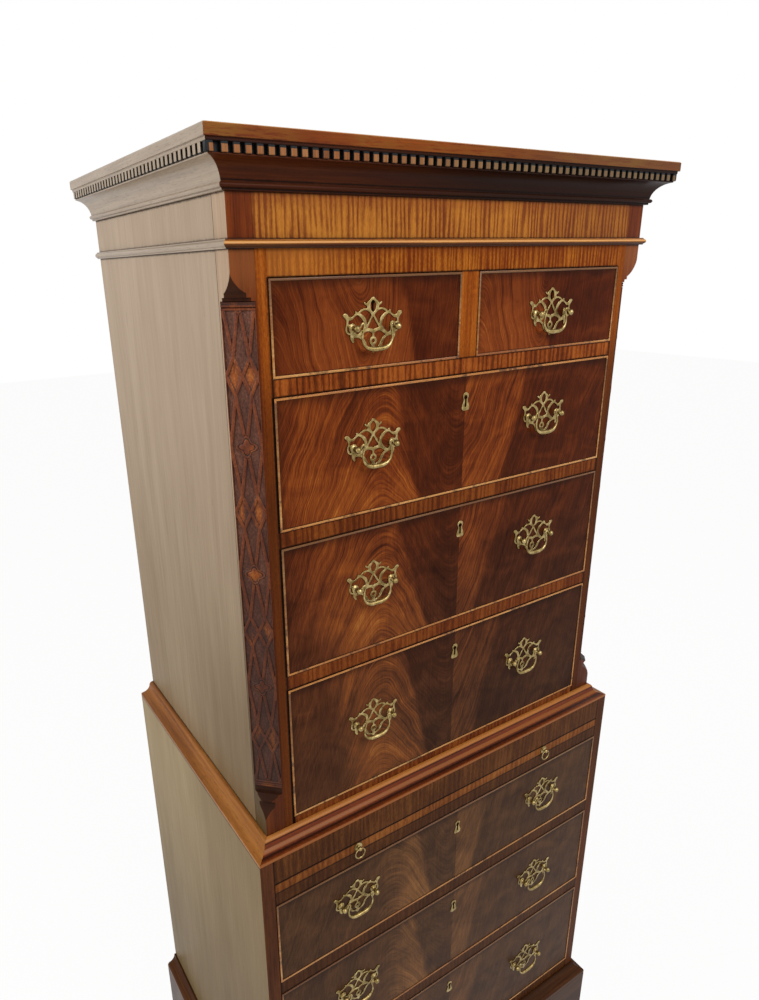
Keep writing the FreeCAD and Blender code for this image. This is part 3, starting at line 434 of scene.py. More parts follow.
def fret_height(u, v):
    """Relief of the fret over its ground, for arrays of u across and v up."""
    bay, half = FRET_HIGH / BAYS, FRET_HALF
    side, rise = np.abs(u), np.mod(v, bay)
    marks = [0, 0.37 * bay, 0.5 * bay, 0.63 * bay, bay]
    inner, outer = [0, half / 2, half, half / 2, 0], [half, half / 2, 0, half / 2, half]
    reach = []
    for path in (inner, outer):
        spans = [distance(side, rise, (path[k], marks[k]), (path[k + 1], marks[k + 1]))
                 for k in range(4)]
        reach.append(np.minimum.reduce(spans) / (STRAP / 2))
    straps = [RELIEF * np.clip(1 - r ** 4, 0, 1) ** 0.35 * (1 + 0.1 * np.clip(1 - r ** 2, 0, 1))
              for r in reach]
    under = straps[1] * (1 - 0.45 * np.exp(-(np.clip(reach[0] - 0.8, 0, None) / 0.5) ** 2))
    relief = np.maximum(straps[0], under)

    centre = np.round(v / bay) * bay
    radius, turn = np.hypot(u, v - centre), np.arctan2(v - centre, u)
    share = radius / (ROSETTE * (1 + 0.24 * np.cos(4 * turn)))
    petal = 1 - 0.6 * np.exp(-((share - 0.72) / 0.1) ** 2) - 0.12 * share
    rosette = (RELIEF + 0.5) * np.clip((1 - share) * 9, 0, 1) ** 0.5 * petal
    relief = np.where(share < 1.02, np.maximum(rosette, 0.1), relief)
    border = np.clip((np.abs(u) - (half - 0.6)) / 0.5, 0, 1) * RELIEF * 0.9
    end = np.minimum(v, FRET_HIGH - v)
    reeds = (RELIEF + 0.4) * np.abs(np.sin(np.pi * end / REED)) ** 0.6
    return np.where(end < 3 * REED, reeds, np.maximum(relief, border))


def fret_wear(u, v):
    """Where the polish has gone golden: each rosette, and the lozenges halfway between them."""
    bay = FRET_HIGH / BAYS
    rise = np.mod(v, bay)
    rosette = 1.5 - np.hypot(u, v - np.round(v / bay) * bay) / 8.0
    lozenge = 1.5 - np.hypot((np.abs(u) - 10.2) / 5.0, (rise - bay / 2) / 17.0)
    return np.clip(np.maximum(rosette, lozenge), 0, 1)


# %% Fret strips
def fret(name, side):
    """One strip: each level of the post gives a closed section, relief in front, wood behind."""
    across = np.linspace(-CANT_HALF, CANT_HALF, 65)
    up = np.linspace(0, FRET_HIGH, 861)
    u, v = np.meshgrid(across, up)
    tooling = 0.05 * np.sin(u * 2.1 + 3 * np.sin(v * 0.05)) + 0.04 * np.sin(v * 1.7 + u)
    relief, wear = fret_height(u, v), fret_wear(u, v)
    deep = CANT / math.sqrt(2) - 0.12 - relief - tooling * (np.abs(u) < 20)
    back = CANT / math.sqrt(2) + 1.0
    u = np.concatenate([u, u[:, -1:], u[:, :1]], axis=1)
    v = np.concatenate([v, v[:, :2]], axis=1)
    deep = np.concatenate([deep, np.full((len(up), 2), back)], axis=1)
    turn = math.sqrt(0.5)
    x = UPPER_HALF + turn * (u - deep)
    y = UPPER_FRONT + turn * (u + deep)
    sections = np.stack([side * x, y, FRET_LOW + v], axis=-1)
    piece = skinned(name, [skin(sections)], "case", "corner_frets", smooth=50)
    measured(piece, "relief", np.pad(relief, ((0, 0), (0, 2))))
    measured(piece, "wear", np.pad(wear, ((0, 0), (0, 2))))
    print(name, "has", len(piece.data.polygons), "faces")
    return piece


frets = [fret("corner_fret_left", -1), fret("corner_fret_right", 1)]

# %% [markdown]
# ## Cockbeads
# A cockbead is a thin strip with a half-round nose, glued round the edge of a drawer front to save
# the veneer from chipping. The nose is a half circle; the section is carried round the four
# corners of the front and closes on itself.

# %% Cockbeads
BEAD = 3.2


def cockbead(drawer):
    """Half-round strips round a drawer front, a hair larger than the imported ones."""
    low, high, face = front_of(drawer)
    angle = np.linspace(0, math.pi, 9)
    inward = BEAD / 2 - (BEAD / 2 + 0.08) * np.cos(angle)
    depth = face - 0.3 - 1.6 * np.sin(angle)
    inward = np.concatenate([[-0.08], inward, [BEAD + 0.08]])
    depth = np.concatenate([[face + 4], depth, [face + 4]])
    corners = [(low[0], low[2], 1, 1), (high[0], low[2], -1, 1), (high[0], high[2], -1, -1),
               (low[0], high[2], 1, -1)]
    sections = np.stack([np.stack([x + right * inward, depth, z + up * inward], axis=1)
                         for x, z, right, up in corners])
    piece = skinned(f"{drawer}_cockbeads", [skin(sections, closed=True)], drawer, smooth=45)
    nose = np.concatenate([[0], np.sin(angle), [0]])
    measured(piece, "nose", np.tile(nose, 4))
    # low_edge is 1 on the lower beads, which keep their painted light, and 0 on the upper ones,
    # which are painted in shade.
    measured(piece, "low_edge", np.repeat([1.0, 1.0, 0.0, 0.0], len(nose)))
    return piece


cockbeads = [cockbead(drawer) for drawer in drawers]
print(len(cockbeads), "sets of cockbeads")

# %% [markdown]
# ## Pierced handle plates
# The plates are cast brass, sawn and filed to an openwork of scrolls. A flat curve suits them: one
# closed line for the outline and one for each opening, which Blender fills and gives an edge. The
# right half is marked in millimetres from the middle between the posts, and mirrored.

# %% Plate outline and openings, mm
PLATE_EDGE = [(0, 36.9), (2.2, 36.2), (4.8, 33.6), (8.4, 31.2), (10.3, 29.4), (12.6, 31.0),
              (14.1, 30.6), (13.2, 28.2), (10.2, 26.8), (9.0, 24.9), (10.4, 23.4), (13.4, 23.7),
              (16.9, 23.0), (20.6, 21.2), (23.4, 19.0), (25.6, 20.4), (27.7, 20.3), (27.9, 17.8),
              (31.0, 15.0), (34.9, 13.8), (37.8, 15.3), (39.6, 17.8), (42.4, 18.8), (45.4, 18.0),
              (46.0, 15.8), (44.2, 13.8), (41.8, 11.4), (41.0, 6.5), (42.3, 1.5), (42.3, -2.3),
              (40.8, -5.4), (37.8, -7.2), (35.4, -8.0), (35.4, -11.0), (34.4, -14.0),
              (31.6, -17.4), (29.6, -16.6), (30.2, -13.4), (28.6, -11.4), (24.6, -11.8),
              (20.4, -13.2), (17.2, -16.2), (15.0, -20.0), (12.8, -23.6), (9.0, -26.4),
              (4.6, -27.8), (2.6, -29.4), (1.2, -31.2), (0, -31.7)]
CROWN = [(0, 33.4), (2.9, 31.0), (4.3, 27.4), (3.9, 23.2), (2.2, 20.2), (0, 18.8)]
TRIANGLE = [(0, 12.6), (4.2, 6.4), (8.4, 0.4), (5.4, -1.2), (2.2, -1.6), (0, -2.8)]
SHOULDER = [(2.6, 14.8), (5.4, 18.2), (9.6, 20.8), (14.6, 20.9), (18.6, 19.2), (20.0, 18.0),
            (15.4, 15.2), (11.6, 11.2), (9.9, 5.4), (9.0, 4.2), (5.8, 9.6)]
EYE = [(16.4, 9.6), (20.4, 13.8), (24.6, 15.8), (29.2, 13.4), (33.2, 10.2), (37.2, 9.8),
       (38.0, 6.4), (36.4, 5.0), (31.0, 6.2), (27.0, 3.4), (26.2, -0.8), (27.2, -4.4),
       (24.0, -7.4), (18.6, -3.6), (14.4, 1.8), (14.6, 6.2)]
CRESCENT = [(38.6, 3.2), (39.8, 0.0), (39.0, -3.2), (36.2, -5.2), (35.8, -4.2), (37.2, -2.0),
            (37.6, 1.2)]
LOWER = [(1.8, -7.4), (4.6, -5.8), (8.2, -4.8), (12.6, -5.8), (17.2, -8.4), (19.2, -10.4),
         (14.4, -13.6), (11.4, -17.8), (9.6, -21.6), (6.4, -24.6), (3.2, -25.8), (2.6, -22.8),
         (5.0, -20.0), (5.7, -16.4), (4.0, -12.8), (1.8, -11.4)]
EYELET = [(0, -14.4), (1.7, -15.1), (2.4, -16.8), (1.7, -18.5), (0, -19.2)]


def mirrored(points):
    """A closed line from its right half, whose first and last points are on the middle."""
    half = np.array(points, float)
    return np.concatenate([half, half[-2:0:-1] * [-1, 1]])


def flat_casting(outline, holes, thickness, edge):
    """Points (x, z) and a depth from 0 to the thickness, with faces, of a filled flat curve."""
    curve = bpy.data.curves.new("casting", "CURVE")
    curve.dimensions = "2D"
    curve.fill_mode = "BOTH"
    curve.extrude = (thickness / 2 - edge) * MM
    curve.bevel_depth = edge * MM
    curve.bevel_resolution = 2
    curve.offset = -edge * MM
    for line in [outline] + holes:
        spline = curve.splines.new("POLY")
        spline.points.add(len(line) - 1)
        spline.points.foreach_set("co", np.c_[line * MM, np.zeros(len(line)),
                                              np.ones(len(line))].ravel())
        spline.use_cyclic_u = True
    holder = bpy.data.objects.new("casting", curve)
    mesh = bpy.data.meshes.new_from_object(holder)
    count = len(mesh.vertices)
    points = np.zeros(count * 3)
    mesh.vertices.foreach_get("co", points)
    points = points.reshape(-1, 3) / MM
    faces = [list(face.vertices) for face in mesh.polygons]
    bpy.data.objects.remove(holder)
    bpy.data.curves.remove(curve)
    bpy.data.meshes.remove(mesh)
    return np.stack([points[:, 0], -thickness / 2 - points[:, 2], points[:, 1]], axis=1), faces


both_sides = [SHOULDER, EYE, CRESCENT, LOWER]
plate_holes = [soft_line(mirrored(line)) for line in (CROWN, TRIANGLE, EYELET)]
plate_holes += [soft_line(line) for line in both_sides]
plate_holes += [soft_line(line) * [-1, 1] for line in both_sides]
plate_shell = flat_casting(soft_line(mirrored(PLATE_EDGE), 5), plate_holes, 1.5, 0.42)
print("plate", len(plate_shell[1]), "faces")

# %% [markdown]
# ## Posts, nuts and bails
# Each handle hangs on two turned posts: a flared foot on the plate, a neck, and a ball bored for
# the bail. A turned piece is a row of radii spun round its axis. A threaded shank runs back through
# the drawer front to a square nut. The bail is a bent tapering rod: small pins in the balls, a
# swan's neck on each side, and a heavy grip in the middle.

# %% Turned and bent brass
POST_HALF, PIVOT = 32.0, 11.0


def turned(steps, sides=28):
    """A shell spun round the Y axis from steps (radius, y)."""
    radius, y = np.array(steps, float).T
    turn = np.linspace(0, 2 * math.pi, sides, endpoint=False)
    return skin(np.stack([np.outer(radius, np.cos(turn)), np.repeat(y[:, None], sides, 1),
                          np.outer(radius, np.sin(turn))], axis=-1))


def rod(line, closed=False, sides=14):
    """A shell round a line of (x, z, radius) in the plane y = 0.

    The section's two axes are the plane's normal and the line's own sideways direction.
    """
    x, z, radius = np.array(line, float).T
    if closed:
        dx, dz = np.roll(x, -1) - np.roll(x, 1), np.roll(z, -1) - np.roll(z, 1)
    else:
        dx, dz = np.gradient(x), np.gradient(z)
    length = np.hypot(dx, dz)
    turn = np.linspace(0, 2 * math.pi, sides, endpoint=False)
    reach = np.outer(radius, np.cos(turn))
    return skin(np.stack([x[:, None] - (dz / length)[:, None] * reach,
                          np.outer(radius, np.sin(turn)),
                          z[:, None] + (dx / length)[:, None] * reach], axis=-1), closed)


def at(shell, x, y, z):
    return shell[0] + [x, y, z], shell[1]


def pair(shell, x, y, z):
    """A shell at the right post of a handle, and its mirror image at the left one."""
    points, faces = at(shell, POST_HALF, 0, 0)
    left = points * [-1, 1, 1], [face[::-1] for face in faces]
    return [at((points, faces), x, y, z), at(left, x, y, z)]


def chamfered_block(width, depth, height, ease):
    """A small block centred on x and z, from y = 0 back, with a chamfer round each end."""
    w, h = width / 2, height / 2
    corner = np.array([(-w, -h), (w, -h), (w, h), (-w, h)])
    small = corner * (1 - ease / w)
    rows = [np.c_[small[:, 0], np.full(4, y), small[:, 1]] if inset
            else np.c_[corner[:, 0], np.full(4, y), corner[:, 1]]
            for y, inset in ((0, True), (ease, False), (depth - ease, False), (depth, True))]
    return skin(np.stack(rows))


ball = [(4.7 * math.sin(t), -PIVOT - 4.7 * math.cos(t))
        for t in np.linspace(math.radians(142), math.radians(14), 14)]
post = turned([(0.4, -1.2), (5.3, -1.2), (5.4, -1.9), (4.9, -2.5), (3.7, -2.8), (3.0, -3.6),
               (2.6, -5.0), (2.7, -6.6)] + ball + [(0.5, -PIVOT - 4.75)])
shank = chamfered_block(3.7, 24.5, 3.7, 0.4)
nut = turned([(1.0, 20.0), (5.6, 20.0), (5.6, 22.2), (4.8, 23.0), (1.0, 23.0)], 4)
BAIL_HALF = [(30.9, 0.0, 1.3), (28.6, 0.3, 1.3), (26.4, 2.6, 1.35), (24.6, 5.4, 1.55),
             (22.4, 6.2, 1.6), (20.8, 4.4, 1.55), (20.9, 1.6, 1.4), (22.6, -3.4, 1.4),
             (23.6, -9.4, 1.45), (23.2, -14.6, 1.6), (21.0, -19.4, 1.9), (17.2, -23.2, 2.4),
             (12.0, -25.4, 2.95), (6.0, -26.3, 3.2), (0.0, -26.4, 3.25)]
right_half = np.array(BAIL_HALF)
bail_line = soft_line(np.concatenate([right_half, right_half[-2::-1] * [-1, 1, 1]]), 4, False)
bail_shell = rod(bail_line)
print("bail", len(bail_shell[1]), "faces; grip", 2 * bail_line[:, 2].max(), "mm thick")

# %% Hang the handles
brasses = []
for joint in frame["joints"]:
    if "_bail" not in joint["name"]:
        continue
    bail, drawer = joint["child"], joint["parent"]
    x, pivot_y, z = (value / MM for value in joint["pos_m"])
    face = pivot_y + PIVOT
    tag = bail.replace("_bail", "_handle")
    node = f"{drawer}_brasses"
    posts = pair(post, x, face, z) + pair(shank, x, face - 1.4, z)
    brasses += [skinned(f"{tag}_plate", [at(plate_shell, x, face, z)], drawer, node, smooth=50),
                skinned(f"{tag}_posts", posts, drawer, node),
                skinned(f"{tag}_nuts", pair(nut, x, face, z), drawer, node),
                skinned(f"{bail}_cast", [at(bail_shell, x, pivot_y, z)], bail, bail)]
    for piece in brasses[-4:]:
        measured(piece, "rise", face - points_of(piece)[:, 1])
print(len(brasses), "brass pieces on", len(drawers), "drawers")

# %% [markdown]
# ## Locks and escutcheons
# Each drawer has a brass-cased lock let into the back of its front, and each long drawer a small
# brass escutcheon pinned round its keyhole.

# %% Locks and escutcheons
ESCUTCHEON = [(0, 12.8), (3.2, 12.0), (5.2, 9.6), (5.2, 6.2), (4.0, 3.2), (4.6, -0.6),
              (6.2, -5.2), (7.2, -9.6), (5.8, -12.6), (2.6, -13.6), (0, -13.4)]
KEY_WAY = [(0, 8.8), (2.2, 8.0), (3.3, 5.6), (2.6, 3.4), (1.6, 1.8), (1.5, -2.0), (1.7, -6.4),
           (1.2, -8.2), (0, -8.4)]
SHORT_KEY = (165.0, 1666.0)
key_way = soft_line(mirrored(KEY_WAY))
escutcheon_shell = flat_casting(soft_line(mirrored(ESCUTCHEON)), [key_way], 1.25, 0.35)
fronts = {}
for drawer in drawers:
    low, high, face = front_of(drawer)
    short = drawer.startswith("short")
    key = ((math.copysign(SHORT_KEY[0], low[0]), SHORT_KEY[1]) if short
           else ((low[0] + high[0]) / 2, high[2] - 39.0))
    fronts[drawer] = low, high, face, key
    tall = high[2] - key[1] + 20.0
    lock = at(chamfered_block(46.0, 9.0, tall, 0.7), key[0], face + 11.0, high[2] - tall / 2)
    brasses.append(skinned(f"{drawer}_lock", [lock], drawer, f"{drawer}_brasses"))
    if not short:
        brasses.append(skinned(f"{drawer}_escutcheon", [at(escutcheon_shell, key[0], face, key[1])],
                               drawer, f"{drawer}_brasses", smooth=50))
        measured(brasses[-1], "rise", face - points_of(brasses[-1])[:, 1])

# %% [markdown]
# ## Veneers of the drawer fronts
# A drawer front is plain timber faced with a millimetre of costly veneer, which stops at the
# cockbeads and is cut away for the key. Here it is a thin filled curve like the brass plates. Two
# attributes keep how far each point is from the lower left and the upper right corner. They change
# evenly over a flat face, so a material can work out the nearest edge anywhere on it.

# %% Veneered faces
def veneered(drawer):
    """The veneer of one drawer front, with its distances from two corners as attributes."""
    low, high, face, key = fronts[drawer]
    inset = BEAD - 0.4
    left, right, bottom, top = low[0] + inset, high[0] - inset, low[2] + inset, high[2] - inset
    middle = np.array([(left + right) / 2, (bottom + top) / 2])
    outline = np.array([(left, bottom), (right, bottom), (right, top), (left, top)]) - middle
    shell = flat_casting(outline, [key_way * 1.05 + key - middle], 0.5, 0.08)
    piece = skinned(f"{drawer}_veneer", [at(shell, middle[0], face + 0.36, middle[1])], drawer,
                    smooth=8)
    for name, corner, sign in (("from_low", low, 1), ("from_high", high, -1)):
        values = (points_of(piece) - corner) * sign * MM
        piece.data.attributes.new(name, "FLOAT_VECTOR", "POINT").data.foreach_set(
            "vector", values.ravel())
    return piece


veneers = {drawer: veneered(drawer) for drawer in drawers}
print(len(veneers), "veneered fronts")

# %% [markdown]
# ## Ring pulls of the brushing slide
# Two small knobs with drop rings draw out the slide.

# %% Ring pulls
PULL_X, PULL_Z, RING, KNOB_BALL = 214.0, 840.75, 9.0, 5.6
knob_ball = [(3.5 * math.sin(t), -KNOB_BALL - 3.5 * math.cos(t))
             for t in np.linspace(math.radians(136), math.radians(12), 10)]
knob = turned([(0.4, 0.2), (7.6, 0.2), (7.7, -0.4), (7.0, -1.1), (5.2, -1.3), (3.4, -1.6),
               (2.4, -2.4), (2.1, -3.2)] + knob_ball + [(0.4, -9.1)])
turn = np.linspace(0, 2 * math.pi, 40, endpoint=False)
ring = rod(np.stack([RING * np.sin(turn), RING * (np.cos(turn) - 1) + 0.3,
                     1.1 + 0.35 * np.clip(-np.cos(turn), 0, 1)], axis=1), closed=True, sides=12)
pulls = [skinned(f"slide_ring_{side}_wire", [at(ring, x, LOWER_FRONT - KNOB_BALL, PULL_Z)],
                 f"slide_ring_{side}", f"slide_ring_{side}")
         for side, x in (("left", -PULL_X), ("right", PULL_X))]
pulls.append(skinned("slide_pull_knobs", [at(knob, x, LOWER_FRONT, PULL_Z)
                                          for x in (-PULL_X, PULL_X)], "slide", "slide_pulls"))
for piece in pulls:
    measured(piece, "rise", LOWER_FRONT - points_of(piece)[:, 1])
brasses += pulls

# %% [markdown]
# ## Finishes
# Old furniture is convincing when each timber keeps its own character. The helpers below read
# sRGB hex colours, add one node at a time, and build wood from three things: slow changes of tone,
# long streaks along the grain, and short dark pores. Dirt gathers and shade falls in corners, so
# some finishes also darken a point by how far it is from the nearest corner: painted shade with
# dirt.

# %% Colours and nodes
def colour(code):
    """Linear colour of an sRGB hex value: below 0.04045 it is divided by 12.92, above it the
    value plus 0.055 is divided by 1.055 and raised to 2.4."""
    value = np.array([int(code[i:i + 2], 16) for i in (1, 3, 5)]) / 255
    linear = np.where(value <= 0.04045, value / 12.92, ((value + 0.055) / 1.055) ** 2.4)
    return (*linear.tolist(), 1.0)


def tones(codes, places=(0.3, 0.5, 0.7)):
    """Stops of a colour ramp: a row of hex colours, and where each lies from 0 to 1."""
    return list(zip(places, codes.split()))


def add(tree, kind, inputs=(), **settings):
    """Adds a node, sets its properties, and fills its inputs with values or links."""
    made = tree.nodes.new(kind)
    for key, value in settings.items():
        setattr(made, key, value)
    for key, value in dict(inputs).items():
        if isinstance(value, bpy.types.NodeSocket):
            tree.links.new(value, made.inputs[key])
        else:
            made.inputs[key].default_value = value
    return made


def ramp(tree, value, stops):
    made = add(tree, "ShaderNodeValToRGB", {0: value})
    elements = made.color_ramp.elements
    while len(elements) < len(stops):
        elements.new(0.5)
    for element, (position, code) in zip(elements, stops):
        element.position, element.color = position, colour(code)
    return made.outputs[0]


def blank(name):
    """An empty material with its surface shader."""
    material = bpy.data.materials.new(name)
    material.use_nodes = True
    tree = material.node_tree
    tree.nodes.clear()
    shader = add(tree, "ShaderNodeBsdfPrincipled")
    add(tree, "ShaderNodeOutputMaterial", {0: shader.outputs[0]})
    return material, tree, shader


def surfaced(tree, shader, base, height, rough_low, rough_high, depth):
    """Colour, roughness and bump: high places are smoother, and the bump is depth mm deep."""
    rough = add(tree, "ShaderNodeMapRange", {0: height, 3: rough_high, 4: rough_low}).outputs[0]
    bump = add(tree, "ShaderNodeBump", {0: 1.0, 1: depth * MM, "Height": height}).outputs[0]
    for socket, value in (("Base Color", base), ("Roughness", rough), ("Normal", bump)):
        tree.links.new(value, shader.inputs[socket])


# %% Sums and shares
def maths(tree, operation, one, two=0.0, three=0.0, clamp=False):
    return add(tree, "ShaderNodeMath", {0: one, 1: two, 2: three}, operation=operation,
               use_clamp=clamp).outputs[0]


def folded(tree, operation, values):
    """One value from several, joined two at a time from the last to the first."""
    result = values[-1]
    for value in values[-2::-1]:
        result = maths(tree, operation, value, result)
    return result


def times(tree, *values):
    return folded(tree, "MULTIPLY", values)


def greatest(tree, *values):
    return folded(tree, "MAXIMUM", values)


def total(tree, constant, *terms):
    """A constant plus each value times its weight."""
    for value, weight in terms:
        constant = maths(tree, "MULTIPLY_ADD", value, weight, constant)
    return constant


def rises(tree, value, start, end):
    """0 before the start, 1 after the end, with a soft slope between."""
    return add(tree, "ShaderNodeMapRange", {0: value, 1: start, 2: end},
               interpolation_type="SMOOTHSTEP").outputs[0]


# %% Places in metres, levels in mm
def above(tree, where, level):
    return maths(tree, "GREATER_THAN", where, level * MM)


def below(tree, where, level):
    return maths(tree, "LESS_THAN", where, level * MM)


def fades(tree, where, start, end):
    """0 before the start, 1 after the end, with a soft slope between."""
    return rises(tree, where, start * MM, end * MM)


def nearest(tree, where, levels):
    """Distance in metres to the nearest of some levels."""
    reach = [maths(tree, "ABSOLUTE", maths(tree, "SUBTRACT", where, level * MM))
             for level in levels]
    while len(reach) > 1:
        reach = reach[2:] + [maths(tree, "MINIMUM", reach[0], reach[1])]
    return reach[0]


# %% Places and patterns
def place(tree):
    return add(tree, "ShaderNodeTexCoord").outputs["Object"]


def split(tree, vector):
    return tuple(add(tree, "ShaderNodeSeparateXYZ", {0: vector}).outputs)


def xyz(tree):
    """The three Object coordinates in metres."""
    return split(tree, place(tree))


def kept(tree, name, socket="Fac"):
    """An attribute that a piece carries."""
    return add(tree, "ShaderNodeAttribute", attribute_name=name).outputs[socket]


def stretched(tree, lengths_mm, offset=(0, 0, 0)):
    """Object coordinates divided by a length in mm along each axis."""
    scale = [1 / (length * MM) for length in lengths_mm]
    return add(tree, "ShaderNodeMapping", {0: place(tree), 1: offset, 3: scale}).outputs[0]


def noise(tree, where, detail=3.0, rough=0.5, warp=0.0):
    return add(tree, "ShaderNodeTexNoise", {0: where, 2: 1.0, 3: detail, 4: rough, 8: warp},
               normalize=True).outputs[0]


def order(along, across_mm, along_mm):
    """Lengths in X, Y, Z order for a grain that runs along one of the axes."""
    return [along_mm if axis == along else across_mm for axis in "XYZ"]


# %% Colours over colours
def mixed(tree, share, one, two, blend="MIX"):
    return add(tree, "ShaderNodeMix", {0: share, 6: one, 7: two}, data_type="RGBA",
               blend_type=blend).outputs[2]


def stained(tree, base, code, *shares):
    """A hex colour laid over the base, as thick as the product of the shares."""
    return mixed(tree, times(tree, *shares), base, colour(code))


def shade_and_dirt_near(tree, distance, reach):
    """Dirt and painted shade by a distance in metres: full in the corner, gone near the reach in
    mm, ragged.
    """
    rag = noise(tree, stretched(tree, (6, 6, 6)), 3.0, 0.65)
    return maths(tree, "SUBTRACT", 1.0,
                 maths(tree, "DIVIDE", distance, times(tree, rag, 2 * reach * MM)), clamp=True)


# %% [markdown]
# ### Mahogany
# Mahogany is a red-brown wood with long soft streaks a few millimetres wide and short open pores,
# here drawn a little coarser than the real 0.2 mm so that they show. Shellac polish fills most of
# it and leaves a skin with a soft gloss; the pattern's height gives that skin its slight texture.

# %% Straight-grained wood
def grain(tree, along, streak=2.2, band=9.0):
    """Slow tone, long streaks and fine lines of straight-grained wood, each from 0 to 1."""
    return (noise(tree, stretched(tree, order(along, 60, 420)), 2.0, 0.5, 0.6),
            noise(tree, stretched(tree, order(along, band, 260)), 4.0, 0.62, 0.2),
            noise(tree, stretched(tree, order(along, streak, 90)), 3.0, 0.6))


def pored(tree, base, along, share=0.3):
    """Short dark pores over a colour."""
    spots = noise(tree, stretched(tree, order(along, 0.9, 14)), 1.0, 0.4)
    return stained(tree, base, "#1c0d07", maths(tree, "LESS_THAN", spots, 0.36), share)


def straight_wood(tree, along, stops):
    """Colour of plain wood, and a height pattern for its polish."""
    tone, lines, fine = grain(tree, along)
    base = ramp(tree, total(tree, -0.17, (lines, 0.55), (tone, 0.45), (fine, 0.35)), stops)
    return pored(tree, base, along), total(tree, 0.0, (fine, 1.0), (tone, 0.5))


def polish(tree, shader, base, height, rough_low, rough_high, depth, specular):
    """A surface under a film of shellac, whose index is 1.5."""
    surfaced(tree, shader, base, height, rough_low, rough_high, depth)
    shader.inputs["IOR"].default_value = 1.5
    shader.inputs["Specular IOR Level"].default_value = specular


def wooden(name, along, stops, specular=0.05, rough=(0.3, 0.45), change=None):
    """A straight-grained wood; a change may stain, bleach or paint light and shade into its colour
    before it is polished.
    """
    material, tree, shader = blank(name)
    base, height = straight_wood(tree, along, stops)
    if change:
        base = change(tree, base)
    polish(tree, shader, base, height, *rough, 0.05, specular)
    return material


# %% [markdown]
# ### Sides
# The sides are plain boards, bleached at the top by years of daylight and browner below; their pale
# colour is also a painted reflection of the pale room, and their change from top to bottom is also
# painted light and shade. They are seen at a flat angle, where the thin clear coat adds only a
# little reflection of its own. A dark seam shows where the post meets the side board, and under the
# mouldings the polish is chipped and darker, in painted shade with dirt. The front edge of the
# lower sides belongs to the front and kept its red.

# %% Faded sides with a painted sheen
POST_SEAM = -193.6


def faded_and_sheened(name, high_stops, shaded_low_stops, low_z, high_z, corners, coat):
    """Upright mahogany whose tone goes from low to high stops between two heights in mm.

    Below z = 1.3 m the front third is darker, as painted shade.
    """
    material, tree, shader = blank(name)
    tone, lines, fine = grain(tree, "Z", 3.2, 24.0)
    value = total(tree, -0.04, (lines, 0.34), (tone, 0.34), (fine, 0.4))
    _, y, z = xyz(tree)
    # Pale stops: faded wood with a painted reflection of the pale room; the darker low stops lower
    # down are painted shade.
    base = mixed(tree, fades(tree, z, low_z, high_z), ramp(tree, value, shaded_low_stops),
                 ramp(tree, value, high_stops))
    # Painted shade: the front third of the side darkens below 1.3 m.
    painted_low_shade = times(tree, fades(tree, y, 80, -120), fades(tree, z, 1300, 1050))
    base = stained(tree, base, "#4d3612", painted_low_shade, 0.35)
    flecks = noise(tree, stretched(tree, (5, 5, 60)), 2.0, 0.5)
    base = stained(tree, base, "#4a3a2a", maths(tree, "LESS_THAN", flecks, 0.27), 0.3)
    seam = times(tree, below(tree, nearest(tree, y, [POST_SEAM]), 0.6),
                 above(tree, z, LOWER_TOP))
    # Painted shade with dirt: darker against the mouldings.
    dirt_and_shade = shade_and_dirt_near(tree, nearest(tree, z, corners), 2.6)
    base = stained(tree, base, "#1d1510", greatest(tree, times(tree, seam, 0.8), dirt_and_shade))
    front_edge = pored(tree, ramp(tree, value, tones("#3b2216 #6a3d24", (0.3, 0.7))), "Z")
    base = mixed(tree, below(tree, y, LOWER_FRONT + 0.6), base, front_edge)
    polish(tree, shader, base, total(tree, 0.0, (fine, 1.0), (tone, 0.5)), 0.3, 0.44, 0.05, coat)
    shader.inputs["Coat Weight"].default_value = coat
    shader.inputs["Coat Roughness"].default_value = 0.22
    return material


# %% [markdown]
# ### Flame veneer
# The drawer fronts are faced with veneer cut where a branch left the trunk. Its figure climbs in
# arches on the left, sinks in a dark valley, and fans up again on the right. The line of the
# figure is the height minus a wave made of three straight runs joined by round crowns:
# m (x - sqrt((x - a)^2 + v^2) + sqrt((x - b)^2 + w^2)), with its crown at a and its valley at b.
# Light comes back from the arches and the fan, where the fibres lean towards the eye, and is lost
# between and beside them. Two leaves meet in the middle, so the streaks change there.

# %% Flame figure
CROWN_AT, CROWN_WIDE, VALLEY_AT, VALLEY_WIDE = -0.15, 0.05, -0.015, 0.03


def vectors(tree, operation, one, two):
    return add(tree, "ShaderNodeVectorMath", {0: one, 1: two}, operation=operation).outputs[0]


def swayed(tree, here):
    """A place pushed about by up to 15 mm of slow noise, since no figure runs true."""
    sway = add(tree, "ShaderNodeTexNoise", {0: here, 2: 11.0, 3: 2.0, 4: 0.5}).outputs[1]
    sway = add(tree, "ShaderNodeVectorMath", {0: vectors(tree, "SUBTRACT", sway, (0.5, 0.5, 0.5)),
                                              "Scale": 30 * MM}, operation="SCALE").outputs[0]
    return vectors(tree, "ADD", here, sway)


def figure_of(tree, x, z, leaf, steep):
    """Coarse and fine streaks along the level lines of the wave, each from 0 to 1."""
    def crowned(middle, width):
        away = maths(tree, "SUBTRACT", x, middle)
        return maths(tree, "SQRT", maths(tree, "MULTIPLY_ADD", away, away, width ** 2))

    wave = total(tree, 0.0, (x, 1.0), (crowned(VALLEY_AT, VALLEY_WIDE), 1.0),
                 (crowned(CROWN_AT, CROWN_WIDE), -1.0))
    level = total(tree, 0.0, (z, 1.0), (wave, -steep))
    flow = add(tree, "ShaderNodeCombineXYZ", {0: times(tree, level, 1 / 0.022),
                                              1: times(tree, x, 1 / 0.16),
                                              2: times(tree, leaf, 7.3)}).outputs[0]
    return (noise(tree, flow, 4.0, 0.62, 0.3),
            noise(tree, vectors(tree, "MULTIPLY", flow, (6.0, 2.6, 1.0)), 3.0, 0.65))


